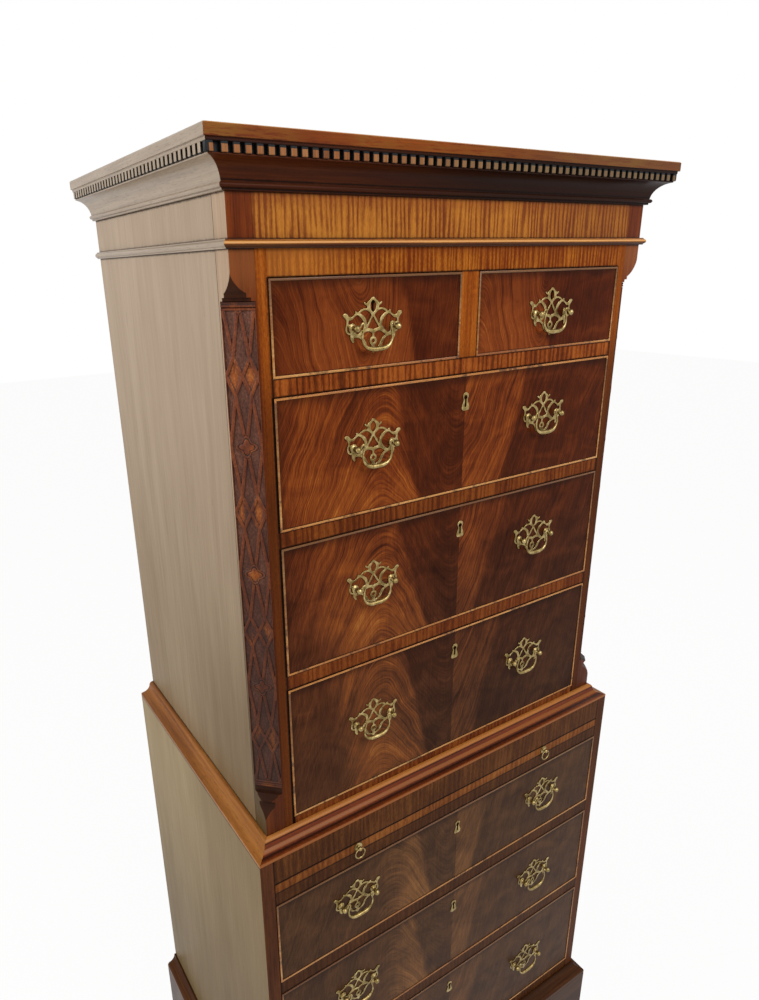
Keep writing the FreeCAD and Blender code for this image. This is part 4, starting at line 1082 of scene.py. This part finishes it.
def lit(tree, x, straight, height, up, low, leaf, edges):
    """1 on the arches and up to 0.9 on the fan; both are narrower lower down the chest."""
    edge = total(tree, 0.0, (straight, 0.75), (x, 0.25))
    tilt = maths(tree, "SUBTRACT", up, 0.1)
    start = total(tree, -edges[0], (x, 1.0), (low, -0.1))
    end = total(tree, -edges[1], (edge, 1.0), (tilt, 0.22), (low, -0.035))
    arch = times(tree, rises(tree, start, 0.0, 0.11), rises(tree, end, 0.006, -0.006))
    under, over = RAIL_MIDDLES
    narrow_leaf = times(tree, fades(tree, height, over + 4, over - 4),
                        fades(tree, height, under - 4, under + 4))
    end = total(tree, -edges[2], (edge, 1.0), (tilt, -0.22), (low, 0.035), (narrow_leaf, 0.022))
    fan = times(tree, leaf, rises(tree, end, 0.006, -0.006))
    return greatest(tree, arch, times(tree, fan, total(tree, 0.9, (low, -0.25))))


# %% Flame veneer
def flame(name, centre, steep, stops, shaded_low_stops, specular, edges=(-0.36, -0.11, 0.108)):
    """Figured veneer about a centre x in mm: streaks on the wave's level lines, lit in two zones.

    The edges are the x, in metres from the centre, where the arches begin and end and where the fan
    ends; a fan that ends at -1 is none.
    """
    material, tree, shader = blank(name)
    here = place(tree)
    straight, _, height = split(tree, here)
    straight = maths(tree, "SUBTRACT", straight, centre * MM)
    x, _, z = split(tree, swayed(tree, here))
    x = maths(tree, "SUBTRACT", x, centre * MM)
    low_x, _, low_z = split(tree, kept(tree, "from_low", "Vector"))
    high_x, _, high_z = split(tree, kept(tree, "from_high", "Vector"))
    leaf = above(tree, straight, 0)
    low = fades(tree, height, 1500, 1050)
    figure, fine = figure_of(tree, x, z, leaf, steep)
    light = lit(tree, x, straight, height, low_z, low, leaf, edges)

    hair = noise(tree, stretched(tree, (2.4, 2.4, 40)), 3.0, 0.6)
    cloud = noise(tree, stretched(tree, (60, 60, 45)), 3.0, 0.55, 0.8)
    base_case = fades(tree, height, 1000, 800)
    beside = times(tree, maths(tree, "SUBTRACT", low, base_case), fades(tree, x, -100, -200))
    foot = times(tree, light, fades(tree, low_z, 100, 20))
    value = total(tree, -0.04, (light, 0.2), (beside, 0.12), (base_case, 0.08), (cloud, 0.48),
                  (foot, 0.12))
    value = maths(tree, "MULTIPLY_ADD", total(tree, -0.7, (figure, 0.6), (fine, 0.8)),
                  total(tree, 0.5, (light, 0.65)), value)
    value = total(tree, -0.15, (value, 1.0), (hair, 0.3))
    # Painted shade: fronts lower down the chest take the darker low stops.
    base = mixed(tree, fades(tree, height, 950, 1500), ramp(tree, value, shaded_low_stops),
                 ramp(tree, value, stops))
    pores = noise(tree, stretched(tree, (1.0, 1.0, 9.0)), 1.0, 0.4)
    base = stained(tree, base, "#170b06", maths(tree, "LESS_THAN", pores, 0.34), 0.25)

    # Painted shade with dirt against the cockbeads, and painted shade under the upper bead and
    # beside the left one.
    rim = maths(tree, "MINIMUM", maths(tree, "MINIMUM", low_x, high_x),
                maths(tree, "MINIMUM", low_z, high_z))
    dirt_and_shade = shade_and_dirt_near(tree, maths(tree, "SUBTRACT", rim, (BEAD - 0.4) * MM), 1.8)
    shade = times(tree, fades(tree, high_z, 18, 2), 0.6)
    left = times(tree, fades(tree, low_x, 14, 2), 0.35)
    base = stained(tree, base, "#1a0f0a", greatest(tree, dirt_and_shade, shade, left))
    ripple = noise(tree, stretched(tree, (38, 38, 26)), 2.0, 0.5)
    polish(tree, shader, base, total(tree, 0.0, (fine, 0.25), (figure, 0.2), (ripple, 1.2)), 0.26,
           0.4, 0.16, specular)
    return material


# %% [markdown]
# ### Ribbon stripe and rails
# The frieze and rails are crossbanded: short pieces of veneer with the grain upright, whose
# alternating fibres give a light and a dark band every 8 to 10 mm. Where the fibres turn away, a
# thin dark line is left. The strips beside the upper drawers and the divider run upright and are
# lighter. Painted shade with dirt lines every opening, the rails grow darker lower down in painted
# shade, and behind its 2 mm of crossbanding a rail is plain wood.

# %% Crossbanding
def ribbon(tree, stops, period=8.0, dark="#62290f", contrast=0.8, seed=0.0):
    """Upright bands a period apart in mm, in a colour that drifts along the rail.

    A band is a sine of x over the period, pushed about by slow noise. A darker stripe with soft
    edges lies in each trough, and how dark the stripes are drifts along the rail too. Its flecks
    are given back for other uses.
    """
    x = xyz(tree)[0]
    push = noise(tree, stretched(tree, (30, 60, 260), (seed, 0, 0)), 3.0, 0.55)
    phase = total(tree, 0.0, (x, 1 / (period * MM)), (push, 3.6))
    wave = maths(tree, "SINE", times(tree, phase, 2 * math.pi))
    broad = noise(tree, stretched(tree, (45, 80, 90), (seed, 0, 0)), 3.0, 0.55, 0.3)
    strand = noise(tree, stretched(tree, (2.2, 3, 70)), 3.0, 0.6)
    fleck = noise(tree, stretched(tree, (1.5, 2, 6)), 3.0, 0.7)
    value = total(tree, -0.2, (wave, 0.05), (broad, 0.5), (strand, 0.4), (fleck, 0.5))
    trough = rises(tree, total(tree, -0.3, (wave, 1.0), (fleck, 0.6)), 0.0, -0.8)
    lines = times(tree, trough, rises(tree, broad, 0.75, 0.42))
    return stained(tree, ramp(tree, value, stops), dark, lines, contrast), fleck


def top_rail(tree, base, x, z, stops):
    """The golden ribbon of the rail over the short drawers, with painted light to the left and
    painted shade in red under the astragal.
    """
    golden, _ = ribbon(tree, stops, 7.6, seed=3.7)
    # Painted shade: redder under the astragal. Painted light: paler to the left.
    golden = stained(tree, golden, "#6b2f12", fades(tree, z, ASTRAGAL - 13, ASTRAGAL - 2), 0.5)
    golden = stained(tree, golden, "#c07a35", fades(tree, x, -160, -280), 0.3)
    return mixed(tree, above(tree, z, SHORT_TOP - 0.5), base, golden)


def uprights(tree, base, x, z, fleck, half_opening, stops):
    """Strips of upright grain beside the drawers and on the divider, and the seam of the post."""
    side = maths(tree, "ABSOLUTE", x)
    tone, lines, fine = grain(tree, "Z", 1.8, 6.0)
    value = total(tree, -0.3, (lines, 0.5), (tone, 0.35), (fine, 0.3), (fleck, 0.45))
    # Painted shade: the upright strips darken below about 1.6 m and towards the right post.
    painted_low_shade = total(tree, 0.0, (fades(tree, z, 1640, 1520), 0.5), (fades(tree, x, 300, 340), 0.35))
    upright = stained(tree, pored(tree, ramp(tree, value, stops), "Z", 0.2), "#38170b", painted_low_shade)
    divider = times(tree, below(tree, side, DIVIDER_HALF), above(tree, z, SHORT_SILL),
                    below(tree, z, SHORT_TOP))
    strip = above(tree, side, half_opening)
    base = mixed(tree, greatest(tree, divider, strip), base, upright)
    seam = below(tree, nearest(tree, side, [POST_EDGE]), 0.4)
    return stained(tree, base, "#1d0f08", seam, 0.6)


def banded(name, stops, levels, half_opening, front, upright_stops=None, gold=None):
    """Rails whose openings have their edges at the levels; all lengths are in mm.

    The front is the y of the rails' faces. Strips of upright grain and a golden top rail are added
    where their stops are given.
    """
    material, tree, shader = blank(name)
    x, y, z = xyz(tree)
    side = maths(tree, "ABSOLUTE", x)
    contrast = total(tree, 0.18, (fades(tree, z, 1150, 1600), 0.34))
    base, fleck = ribbon(tree, stops, 10.0, "#35190c", contrast)
    if gold:
        base = top_rail(tree, base, x, z, gold)
    if upright_stops:
        base = uprights(tree, base, x, z, fleck, half_opening, upright_stops)
    # Painted shade by height: the rails darken lower down the chest.
    shade_by_height = total(tree, 0.0, (fades(tree, z, 1560, 1400), 0.38), (fades(tree, z, 910, 900), -0.14),
                (fades(tree, z, 845, 820), 0.26))
    base = stained(tree, base, "#2b180d", shade_by_height)
    # Painted shade with dirt along the edges of every opening.
    dirt_and_shade = times(tree, shade_and_dirt_near(tree, nearest(tree, z, levels), 2.2),
                 below(tree, side, half_opening))
    wall = times(tree, shade_and_dirt_near(tree, nearest(tree, side, [half_opening]), 3.4),
                 below(tree, z, SHORT_TOP))
    base = stained(tree, base, "#150b07", greatest(tree, dirt_and_shade, wall))
    behind = fades(tree, y, front + 2, front + 2.5)
    base = mixed(tree, behind, base, straight_wood(tree, "X", OLIVE_BROWN)[0])
    # Painted shade: a nearly black gap beside the left edge of the long drawers' openings.
    if upright_stops:
        gap = times(tree, fades(tree, nearest(tree, x, [-half_opening]), 3, 1.8),
                    below(tree, z, LONG_TOP),
                    fades(tree, nearest(tree, z, RAIL_MIDDLES), 10, 12))
        base = stained(tree, base, "#070403", gap, 0.9)
    polish(tree, shader, base, fleck, 0.28, 0.42, 0.04, 0.03)
    return material


def striped(name):
    """The frieze: golden ribbon stripe, redder under the cornice and darker to the right in painted
    shade, with painted shade and dirt at its edges.
    """
    material, tree, shader = blank(name)
    x, _, z = xyz(tree)
    base, fleck = ribbon(tree, GOLDEN)
    # Painted shade under the cornice and to the right, and with dirt along the edges.
    base = stained(tree, base, "#7a3a14", fades(tree, z, CORNICE - 21, CORNICE - 3), 0.4)
    base = stained(tree, base, "#5a2a0e", fades(tree, x, 50, 250), 0.3)
    base = stained(tree, base, "#1a0d07", shade_and_dirt_near(tree, nearest(tree, z, [FRIEZE, CORNICE]), 1.8))
    polish(tree, shader, base, fleck, 0.26, 0.4, 0.04, 0.08)
    return material


# %% [markdown]
# ### Carved fret
# The ground of the fret was never polished: it is dusty mauve-brown and speckled. The straps are
# rust-brown, hands have worn the rosettes and lozenges golden, and painted shade fills the walls of
# the relief and darkens the fret lower down. The relief itself tells which is which.

# %% Fret finish
def fretted(name):
    """Speckled wood in three colours, chosen by the relief and the wear that a strip carries."""
    material, tree, shader = blank(name)
    relief, wear = kept(tree, "relief"), kept(tree, "wear")
    z = xyz(tree)[2]
    speck = noise(tree, stretched(tree, (2.2, 2.2, 3.5)), 4.0, 0.65)
    cloud = noise(tree, stretched(tree, (16, 16, 40)), 3.0, 0.55)
    mottle = total(tree, -0.05, (speck, 0.6), (cloud, 0.5))
    ground, strap, gold = (ramp(tree, mottle, tones(codes)) for codes in (
        "#2c150e #543022 #7b4e3d", "#401a0e #653016 #854725", "#5f2a0e #91470f #b7702f"))
    base = mixed(tree, rises(tree, relief, 0.9, 1.4), ground, strap)
    worn_and_lit = times(tree, wear, rises(tree, cloud, 0.4, 0.55))
    base = mixed(tree, times(tree, worn_and_lit, 0.8), base, gold)
    # Painted shade in the walls of the relief.
    wall = times(tree, rises(tree, relief, 0.04, 0.3), rises(tree, relief, 1.25, 0.8))
    base = stained(tree, base, "#170c08", wall, 0.8)
    # Painted shade: the fret darkens lower down the chest.
    base = stained(tree, base, "#1c0d06", fades(tree, z, 1600, 1000), 0.6)
    base = stained(tree, base, "#1f1613", fades(tree, z, FRET_LOW + 680, FRET_LOW + 685), 0.6)
    polish(tree, shader, base, speck, 0.42, 0.62, 0.25, 0.2)
    return material


# %% [markdown]
# ### Antique brass
# Old lacquered brass is pale olive-yellow where hands rub it and brown in its hollows. Each brass
# piece knows how far it rises from the wood, and tarnish fills what lies low.

# %% Antique brass
def antique_brass(name):
    """Metal whose height pattern also gives its colour, dark where a piece rises under 1.25 mm."""
    material, tree, shader = blank(name)
    cloud = noise(tree, stretched(tree, (7, 7, 7)), 4.0, 0.6)
    speck = noise(tree, stretched(tree, (1.4, 1.4, 1.4)), 3.0, 0.6)
    value = total(tree, 0.0, (cloud, 0.7), (speck, 0.3))
    low = rises(tree, kept(tree, "rise"), 1.25, 0.5)
    base = ramp(tree, value, tones("#5c4b2b #988251 #cdbb88"))
    surfaced(tree, shader, stained(tree, base, "#2b2010", low, 0.85), value, 0.28, 0.46, 0.12)
    shader.inputs["Metallic"].default_value = 1.0
    return material


# %% [markdown]
# ### What each moulding and board needs
# A change takes the finished wood colour and stains it, or paints light and shade into it, by
# height or by side: the crown of the cornice is rubbed golden above a cove in nearly black painted
# shade, the waist moulding has painted highlights on its bead and its lower edge, and the outer
# faces of the posts are as pale as the sides, partly faded and partly a painted reflection.

# %% Stains, painted light and painted shade of the mouldings
def cornice_wear_light_and_shade(tree, base):
    """Crown in two drifting golds through worn polish, greyer to the right in a painted sheen, with
    a painted highlight on its upper front edge; the cove nearly black in painted shade, and painted
    shade with dirt in the hollows.
    """
    x, y, z = xyz(tree)
    along = split(tree, stretched(tree, (160, 160, 160)))[0]
    drift = noise(tree, add(tree, "ShaderNodeCombineXYZ", {0: along}).outputs[0], 2.0)
    gold = mixed(tree, rises(tree, drift, 0.35, 0.65), colour("#773610"), colour("#855822"))
    scuffs = noise(tree, stretched(tree, (26, 6, 2.2)), 4.0, 0.65)
    crown = mixed(tree, times(tree, rises(tree, scuffs, 0.4, 0.55), 0.7), base, gold)
    # Painted sheen: greyer to the right. Painted highlight along the upper front edge.
    crown = stained(tree, crown, "#5e4a33", fades(tree, x, -100, 200), 0.45)
    arris_highlight = times(tree, fades(tree, z, TOP - 1.2, TOP - 0.5), below(tree, y, UPPER_FRONT - 32.2))
    crown = stained(tree, crown, "#e0a868", arris_highlight, 0.7)
    # Painted shade: the cove is nearly black, darker to the right; painted shade with dirt in the
    # hollows.
    cove = stained(tree, base, "#22120c", total(tree, 0.66, (fades(tree, x, -320, 50), 0.3)))
    dirt_and_shade = shade_and_dirt_near(tree, nearest(tree, z, [CORNICE + rise for rise in (1.5, 10.2, 42.5)]), 1.3)
    base = mixed(tree, fades(tree, z, CORNICE + 45.5, CORNICE + 46.5), cove, crown)
    return stained(tree, base, "#0d0805", dirt_and_shade)


def waist_highlights_and_shade(tree, base):
    """Painted highlights on the fascia, middle fillet and bead, with painted shade and dirt in the
    two hollows between them.
    """
    z = xyz(tree)[2]
    # Painted highlights on the fascia, the middle fillet and the bead; painted shade with dirt in
    # the hollows.
    fascia = times(tree, fades(tree, z, LOWER_TOP + 5.2, LOWER_TOP + 4.4), 0.65)
    bead = times(tree, fades(tree, z, LOWER_TOP + 19.5, LOWER_TOP + 21.2), 0.75)
    middle = times(tree, fades(tree, nearest(tree, z, [LOWER_TOP + 10]), 2.6, 1.6), 0.6)
    hollows = nearest(tree, z, [LOWER_TOP + 6.2, LOWER_TOP + 18.5])
    base = stained(tree, base, "#240d05", shade_and_dirt_near(tree, hollows, 1.6))
    base = stained(tree, base, "#9a5c26", greatest(tree, fascia, middle))
    return stained(tree, base, "#b9793a", bead)


def astragal_highlight_and_shade(tree, base):
    """A painted highlight along the nose, painted shade under it, and painted shade with dirt
    against the frieze and the rail.
    """
    z = xyz(tree)[2]
    base = stained(tree, base, "#2f1207", fades(tree, z, ASTRAGAL + 5.2, ASTRAGAL + 3.8), 0.85)
    shine = fades(tree, nearest(tree, z, [ASTRAGAL + 6.3]), 1.6, 0.7)
    base = stained(tree, base, "#e2a866", shine, 0.7)
    return stained(tree, base, "#170c07", shade_and_dirt_near(tree, nearest(tree, z, [ASTRAGAL, FRIEZE]), 1.4))


def return_stain(tree, base):
    """The upper edge of the cornice shows on its return as a brown line."""
    return stained(tree, base, "#67482f", fades(tree, xyz(tree)[2], TOP - 0.7, TOP - 0.1))


# %% Stains, painted light and painted shade of the dentils, posts, beads and back
def tooth_wear_light_and_shade(tree, base):
    """Teeth orange in the middle of each front face, partly worn and partly painted light, paler
    and greyer to the right, on a blue-black ground of painted shade.
    """
    x, y, z = xyz(tree)
    greyer_right = stained(tree, base, "#84704f", fades(tree, x, -250, 100), 0.75)
    turn = maths(tree, "FRACT", maths(tree, "MULTIPLY_ADD", x, 1 / (PITCH * MM),
                                      -FIRST_TOOTH / PITCH))
    from_middle = nearest(tree, times(tree, turn, PITCH * MM), [TOOTH / 2])
    from_centre = nearest(tree, z, [DENTIL_LOW + 3.9])
    # Orange in the middle of each front face, partly wear and partly painted light; the rest is a
    # blue-black ground of painted shade.
    worn_and_lit = times(tree, fades(tree, from_middle, 3.9, 3.1),
                 fades(tree, from_centre, 4.2, 3.4))
    worn_and_lit = times(tree, worn_and_lit, below(tree, y, UPPER_FRONT - FACE + 1.1))
    worn_and_lit = times(tree, worn_and_lit, total(tree, 0.82, (fades(tree, x, -100, 200), -0.2)))
    return mixed(tree, worn_and_lit, colour("#1d1e20"), greyer_right)


def side_tooth_shade(tree, base):
    """All but the faces of the side teeth is dark, as painted shade."""
    side = maths(tree, "ABSOLUTE", xyz(tree)[0])
    return stained(tree, base, "#16110d", below(tree, side, UPPER_HALF + FACE - 0.2))


def post_sheen_light_and_shade(tree, base):
    """Pale outer faces with a painted reflection, painted shade on the cuts of the cant and stops,
    painted light on the upper stops, and painted shade with dirt at the ends.
    """
    x, y, z = xyz(tree)
    outer = above(tree, maths(tree, "ABSOLUTE", x), UPPER_HALF - 0.5)
    # Painted light: a glow on the upper stops.
    worn_and_lit = times(tree, fades(tree, z, 1660, 1720), below(tree, z, ASTRAGAL))
    base = stained(tree, base, "#8f5630", worn_and_lit, 0.5)
    # Outer faces as pale as the sides, partly faded and partly a painted reflection, darker lower
    # down in painted shade.
    pale = noise(tree, stretched(tree, (9, 9, 200)), 3.0, 0.6)
    pale = ramp(tree, pale, tones("#9b826b #b29a82", (0.3, 0.7)))
    base = mixed(tree, outer, base, stained(tree, pale, "#65502f", fades(tree, z, 1650, 1000)))
    # Painted shade on the cuts of the cant and stops.
    cut = times(tree, above(tree, y, UPPER_FRONT + 0.8), maths(tree, "SUBTRACT", 1.0, outer))
    base = stained(tree, base, "#22140d", cut, 0.85)
    # Painted shade with dirt against the mouldings, and painted shade lower down.
    dirt_and_shade = shade_and_dirt_near(tree, nearest(tree, z, [ASTRAGAL, FRIEZE, CORNICE]), 2.0)
    low = times(tree, fades(tree, z, 1500, 950), 0.5)
    return stained(tree, base, "#2a1a12", greatest(tree, dirt_and_shade, low))


def bead_chips_and_shade(tree, base):
    """Beads are in painted shade at their foot and chipped; the upper beads, but for two rows, and
    all beads lower down are dulled as painted shade, and the lower edges keep their painted light.
    """
    z = xyz(tree)[2]
    # Painted shade at the foot of each bead.
    base = stained(tree, base, "#150b07", rises(tree, kept(tree, "nose"), 0.6, 0.1))
    chips = noise(tree, stretched(tree, (22, 22, 22)), 4.0, 0.7)
    lit_upper_beads = fades(tree, nearest(tree, z, [UPPER_LEVELS[1] - 1.5, LONG_TOP - 1.5]), 5, 4)
    upper = times(tree, maths(tree, "SUBTRACT", 1.0, kept(tree, "low_edge")),
                  total(tree, 0.97, (lit_upper_beads, -0.97)))
    low = times(tree, fades(tree, z, 1200, 850), 0.2)
    chipped_and_shaded = greatest(tree, rises(tree, chips, 0.48, 0.36), upper, low)
    return stained(tree, base, "#3a2114", chipped_and_shaded, 0.75)


def planked(tree, base):
    """Four upright planks to each case, each with a tone of its own and dark joints between."""
    x, _, z = xyz(tree)
    upper = above(tree, z, LOWER_TOP)
    width = total(tree, 0.189, (upper, -0.0135))
    share = maths(tree, "DIVIDE", x, width)
    number = total(tree, 0.4, (maths(tree, "FLOOR", share), 2.7), (upper, 5.3))
    tone = noise(tree, add(tree, "ShaderNodeCombineXYZ", {0: number}).outputs[0], 0.0)
    base = mixed(tree, rises(tree, tone, 0.3, 0.7), base, colour("#c9b491"), "MULTIPLY")
    off = maths(tree, "SUBTRACT", share, maths(tree, "ROUND", share))
    gap = times(tree, maths(tree, "ABSOLUTE", off), width)
    gap = maths(tree, "MINIMUM", gap, nearest(tree, z, [LOWER_TOP]))
    return stained(tree, base, "#140e08", fades(tree, gap, 1.6, 0.8))


# %% [markdown]
# ### The palette
# One row of hex colours to each tone of wood, from dark to light. A flame needs five, because it
# runs from nearly black to straw.

# %% Tones of wood
RED_BROWN = tones("#43190a #6c3013 #8c471a")
RAIL_BROWN = tones("#4a1b09 #763613 #a05722", (0.25, 0.45, 0.65))
AMBER = tones("#4e1d08 #7c3a0f #ad6721", (0.22, 0.44, 0.66))
OLIVE_BROWN = tones("#3a1e0e #563015 #744620")
GOLDEN = tones("#5a260c #8e4e19 #b57329", (0.22, 0.42, 0.62))
ORANGE = tones("#652c0d #904814 #b36722")
SHADY = tones("#2c170b #402412 #5a361b")
# TAUPE and the OLIVE rows are pale with a painted reflection of the room; their _LOW rows are the
# same woods in painted shade lower down.
TAUPE, TAUPE_LOW = tones("#94816d #a08d79 #ac9985"), tones("#735f46 #7f6c53 #8b785d")
OLIVE_HIGH, OLIVE_LOW = tones("#7f6d4d #8b7857 #978462"), tones("#635136 #6e5b3e #796648")
FIVE = (0.0, 0.2, 0.4, 0.62, 0.9)
WARM = tones("#290e06 #481e0c #6b3014 #8f4a1c #c48139", FIVE)
RUDDY = tones("#2c1006 #481c0b #682f13 #83401b #ab682f", FIVE)
# DEEP is a painted-shade copy of WARM for drawers lower down, and DIM the lower case's fronts in
# painted shade.
DEEP = tones("#221209 #392013 #53311d #784422 #a06834", (0.0, 0.2, 0.4, 0.65, 0.95))
DIM = tones("#27170d #3d2616 #563821 #714b2b #926438", FIVE)

# %% Mix the finishes
upper_side_wood = faded_and_sheened("faded_mahogany_painted_sheen", TAUPE, TAUPE_LOW, 950, 1750,
                        [UPPER_SILL, ASTRAGAL, FRIEZE, CORNICE], 0.02)
lower_side_wood = faded_and_sheened("olive_mahogany_painted_sheen", OLIVE_HIGH, OLIVE_LOW, 320, 850,
                        [LOWER_TOP, CASE_BOTTOM + 32], 0.015)
# Pale returns: faded wood with a painted reflection of the pale room, like the sides.
return_wood = wooden("faded_mahogany_returns_painted_sheen", "Y", tones("#7d6b58 #8e7b66 #9d8a74"), 0.5,
                     change=return_stain)
post_wood = wooden("polished_mahogany_posts", "Z", RED_BROWN, change=post_sheen_light_and_shade)
cornice_wood = wooden("polished_mahogany_cornice", "X", RED_BROWN, change=cornice_wear_light_and_shade)
astragal_wood = wooden("mahogany_astragal_painted_highlight", "X", GOLDEN, 0.15, change=astragal_highlight_and_shade)
waist_wood = wooden("mahogany_waist_painted_light", "X", tones("#4b1c0a #6e2f12 #8a451d"), 0.15,
                    change=waist_highlights_and_shade)
waist_return = wooden("rubbed_mahogany_waist_returns", "Y", tones("#6a3b17 #8a5421 #a26a30"), 0.12)
base_wood = wooden("polished_mahogany_base", "X", SHADY)
base_return = wooden("polished_mahogany_base_returns", "Y", SHADY)
foot_wood = wooden("polished_mahogany_feet", "X", SHADY)
top_wood = wooden("dusty_mahogany_top", "X", tones("#4c3222 #67482f #7d5b3e"), 0.2, (0.45, 0.6))
inner_wood = wooden("plain_mahogany_inside", "X", OLIVE_BROWN, 0.1, (0.5, 0.65))
tooth_wood = wooden("mahogany_dentils_painted_light_and_shade", "Z", tones("#5c3218 #9a5f33 #b98352"), 0.1,
                    change=tooth_wear_light_and_shade)
# Pale side teeth: faded wood with a painted reflection, like the sides.
pale_tooth = wooden("faded_dentils_painted_sheen_and_shade", "Z", tones("#82705e #93816b #a28f79"), 0.2,
                    change=side_tooth_shade)
bead_wood = wooden("cockbead_mahogany", "X", tones("#90532a #bb7c3c #d8a566"), 0.3,
                   change=bead_chips_and_shade)
oak = wooden("bare_oak", "Y", tones("#6e5030 #937046 #ad8a5c"), 0.15, (0.5, 0.7))
pine = wooden("bare_pine", "Z", tones("#6a4c2c #8b683f #a3825a"), 0.15, (0.5, 0.7), planked)
rail_wood = banded("crossbanded_mahogany_upper", RAIL_BROWN, UPPER_LEVELS, UPPER_OPEN, UPPER_FRONT,
                   ORANGE, AMBER)
lower_rail_wood = banded("crossbanded_mahogany_lower", OLIVE_BROWN,
                         LOWER_LEVELS + [SLIDE_LOW, SLIDE_HIGH + GAP_ABOVE], LOWER_OPEN,
                         LOWER_FRONT)
slide_wood = banded("crossbanded_mahogany_slide", tones("#5e2f11 #874c1f #a3662f"),
                    [SLIDE_LOW, SLIDE_HIGH], LOWER_OPEN, LOWER_FRONT)
frieze_wood = striped("ribbon_stripe_mahogany")
fret_wood = fretted("carved_mahogany_fret")
brass = antique_brass("antique_lacquered_brass")
long_veneer = flame("flame_mahogany_long", 0, 2.7, WARM, DEEP, 0.03)
# The lower drawers take a duller, darker copy of the flame: painted shade.
low_veneer = flame("flame_mahogany_low", 0, 2.7, DIM, DIM, 0.04, (-0.3, -0.115, 0.095))
short_veneers = {
    f"short_drawer_{side}": flame(f"flame_mahogany_short_{side}", centre, 5.5, RUDDY, RUDDY, 0.03,
                                  (start, end, -1.0))
    for side, centre, start, end in (("left", -165, -0.18, 0.05), ("right", 165, -0.26, -0.02))}
print(len(bpy.data.materials), "materials")

# %% Give each piece its finish
def dress(pieces, finish):
    for piece in pieces:
        piece.data.materials.clear()
        piece.data.materials.append(finish)


NODE_FINISHES = {"upper_rails": rail_wood, "lower_rails": lower_rail_wood, "back_boards": pine,
                 "upper_runners": oak, "lower_runners": oak, "bracket_feet": foot_wood,
                 "brushing_slide": slide_wood}
for node, thing in frame["nodes"].items():
    finish = NODE_FINISHES.get(node)
    if node.endswith("_front"):
        finish = inner_wood
    elif node.endswith("_box"):
        finish = oak
    if finish:
        dress([thing], finish)
for piece, finish in ((boards["upper_sides"], upper_side_wood),
                      (boards["lower_sides"], lower_side_wood),
                      (boards["corner_posts"], post_wood), (boards["upper_boards"], top_wood),
                      (boards["frieze"], frieze_wood), (boards["lower_boards"], inner_wood),
                      (cornice["front"], cornice_wood), (astragal["front"], astragal_wood),
                      (waist["front"], waist_wood), (base["front"], base_wood),
                      (dentils["front"], tooth_wood)):
    dress([piece], finish)
for side in ("left", "right"):
    dress([cornice[side], astragal[side]], return_wood)
    dress([waist[side]], waist_return)
    dress([base[side]], base_return)
    dress([dentils[side]], pale_tooth)
dress(frets, fret_wood)
dress(cockbeads, bead_wood)
for drawer, piece in veneers.items():
    finish = short_veneers.get(drawer, low_veneer if drawer.startswith("lower") else long_veneer)
    dress([piece], finish)
dress(brasses, brass)

# %% [markdown]
# ## Studio
# A pale floor and an even pale room, with one large soft lamp above and in front and one at the
# left. The room and floor look white to the camera and in reflections; the floor keeps a soft
# shadow.

# %% Floor, room and lamps
floor_mesh = bpy.data.meshes.new("floor")
floor_mesh.from_pydata([(-12, -12, 0), (12, -12, 0), (12, 12, 0), (-12, 12, 0)], [], [(0, 1, 2, 3)])
floor = bpy.data.objects.new("floor", floor_mesh)
bpy.context.scene.collection.objects.link(floor)


def seen_share(tree):
    """1 for rays from the camera, mirrors and glass, 0 for light that falls on things."""
    path = add(tree, "ShaderNodeLightPath").outputs
    seen = maths(tree, "MAXIMUM", path["Is Camera Ray"], path["Is Glossy Ray"])
    return maths(tree, "MAXIMUM", seen, path["Is Transmission Ray"])


floor_material = bpy.data.materials.new("pale_floor")
floor_material.use_nodes = True
tree = floor_material.node_tree
tree.nodes.clear()
matt = add(tree, "ShaderNodeBsdfDiffuse", {0: colour("#f6f5f3")}).outputs[0]
glow = add(tree, "ShaderNodeEmission", {0: (1, 1, 1, 1), 1: 1.0}).outputs[0]
share = maths(tree, "MULTIPLY", seen_share(tree), 0.94)
add(tree, "ShaderNodeOutputMaterial",
    {0: add(tree, "ShaderNodeMixShader", {0: share, 1: matt, 2: glow}).outputs[0]})
floor_mesh.materials.append(floor_material)

world = bpy.data.worlds.new("studio")
bpy.context.scene.world = world
world.use_nodes = True
tree = world.node_tree
tree.nodes.clear()
dim = add(tree, "ShaderNodeBackground", {0: colour("#f4f2ee"), 1: 0.55}).outputs[0]
white = add(tree, "ShaderNodeBackground", {0: (1, 1, 1, 1), 1: 1.0}).outputs[0]
add(tree, "ShaderNodeOutputWorld",
    {0: add(tree, "ShaderNodeMixShader", {0: seen_share(tree), 1: dim, 2: white}).outputs[0]})


def soft_lamp(name, place, target, size, power):
    """A square lamp that faces a target."""
    lamp = bpy.data.lights.new(name, "AREA")
    lamp.size, lamp.energy = size, power
    holder = bpy.data.objects.new(name, lamp)
    holder.location = place
    away = Vector(place) - Vector(target)
    holder.rotation_euler = away.to_track_quat("Z", "Y").to_euler()
    bpy.context.scene.collection.objects.link(holder)


soft_lamp("front_lamp", (0.6, -2.6, 3.2), (0, 0, 1.2), 1.6, 55)
soft_lamp("left_lamp", (-3.0, 0.4, 2.4), (0, 0, 1.2), 2.0, 60)

# %% Look
bpy.context.scene.view_settings.view_transform = "Standard"
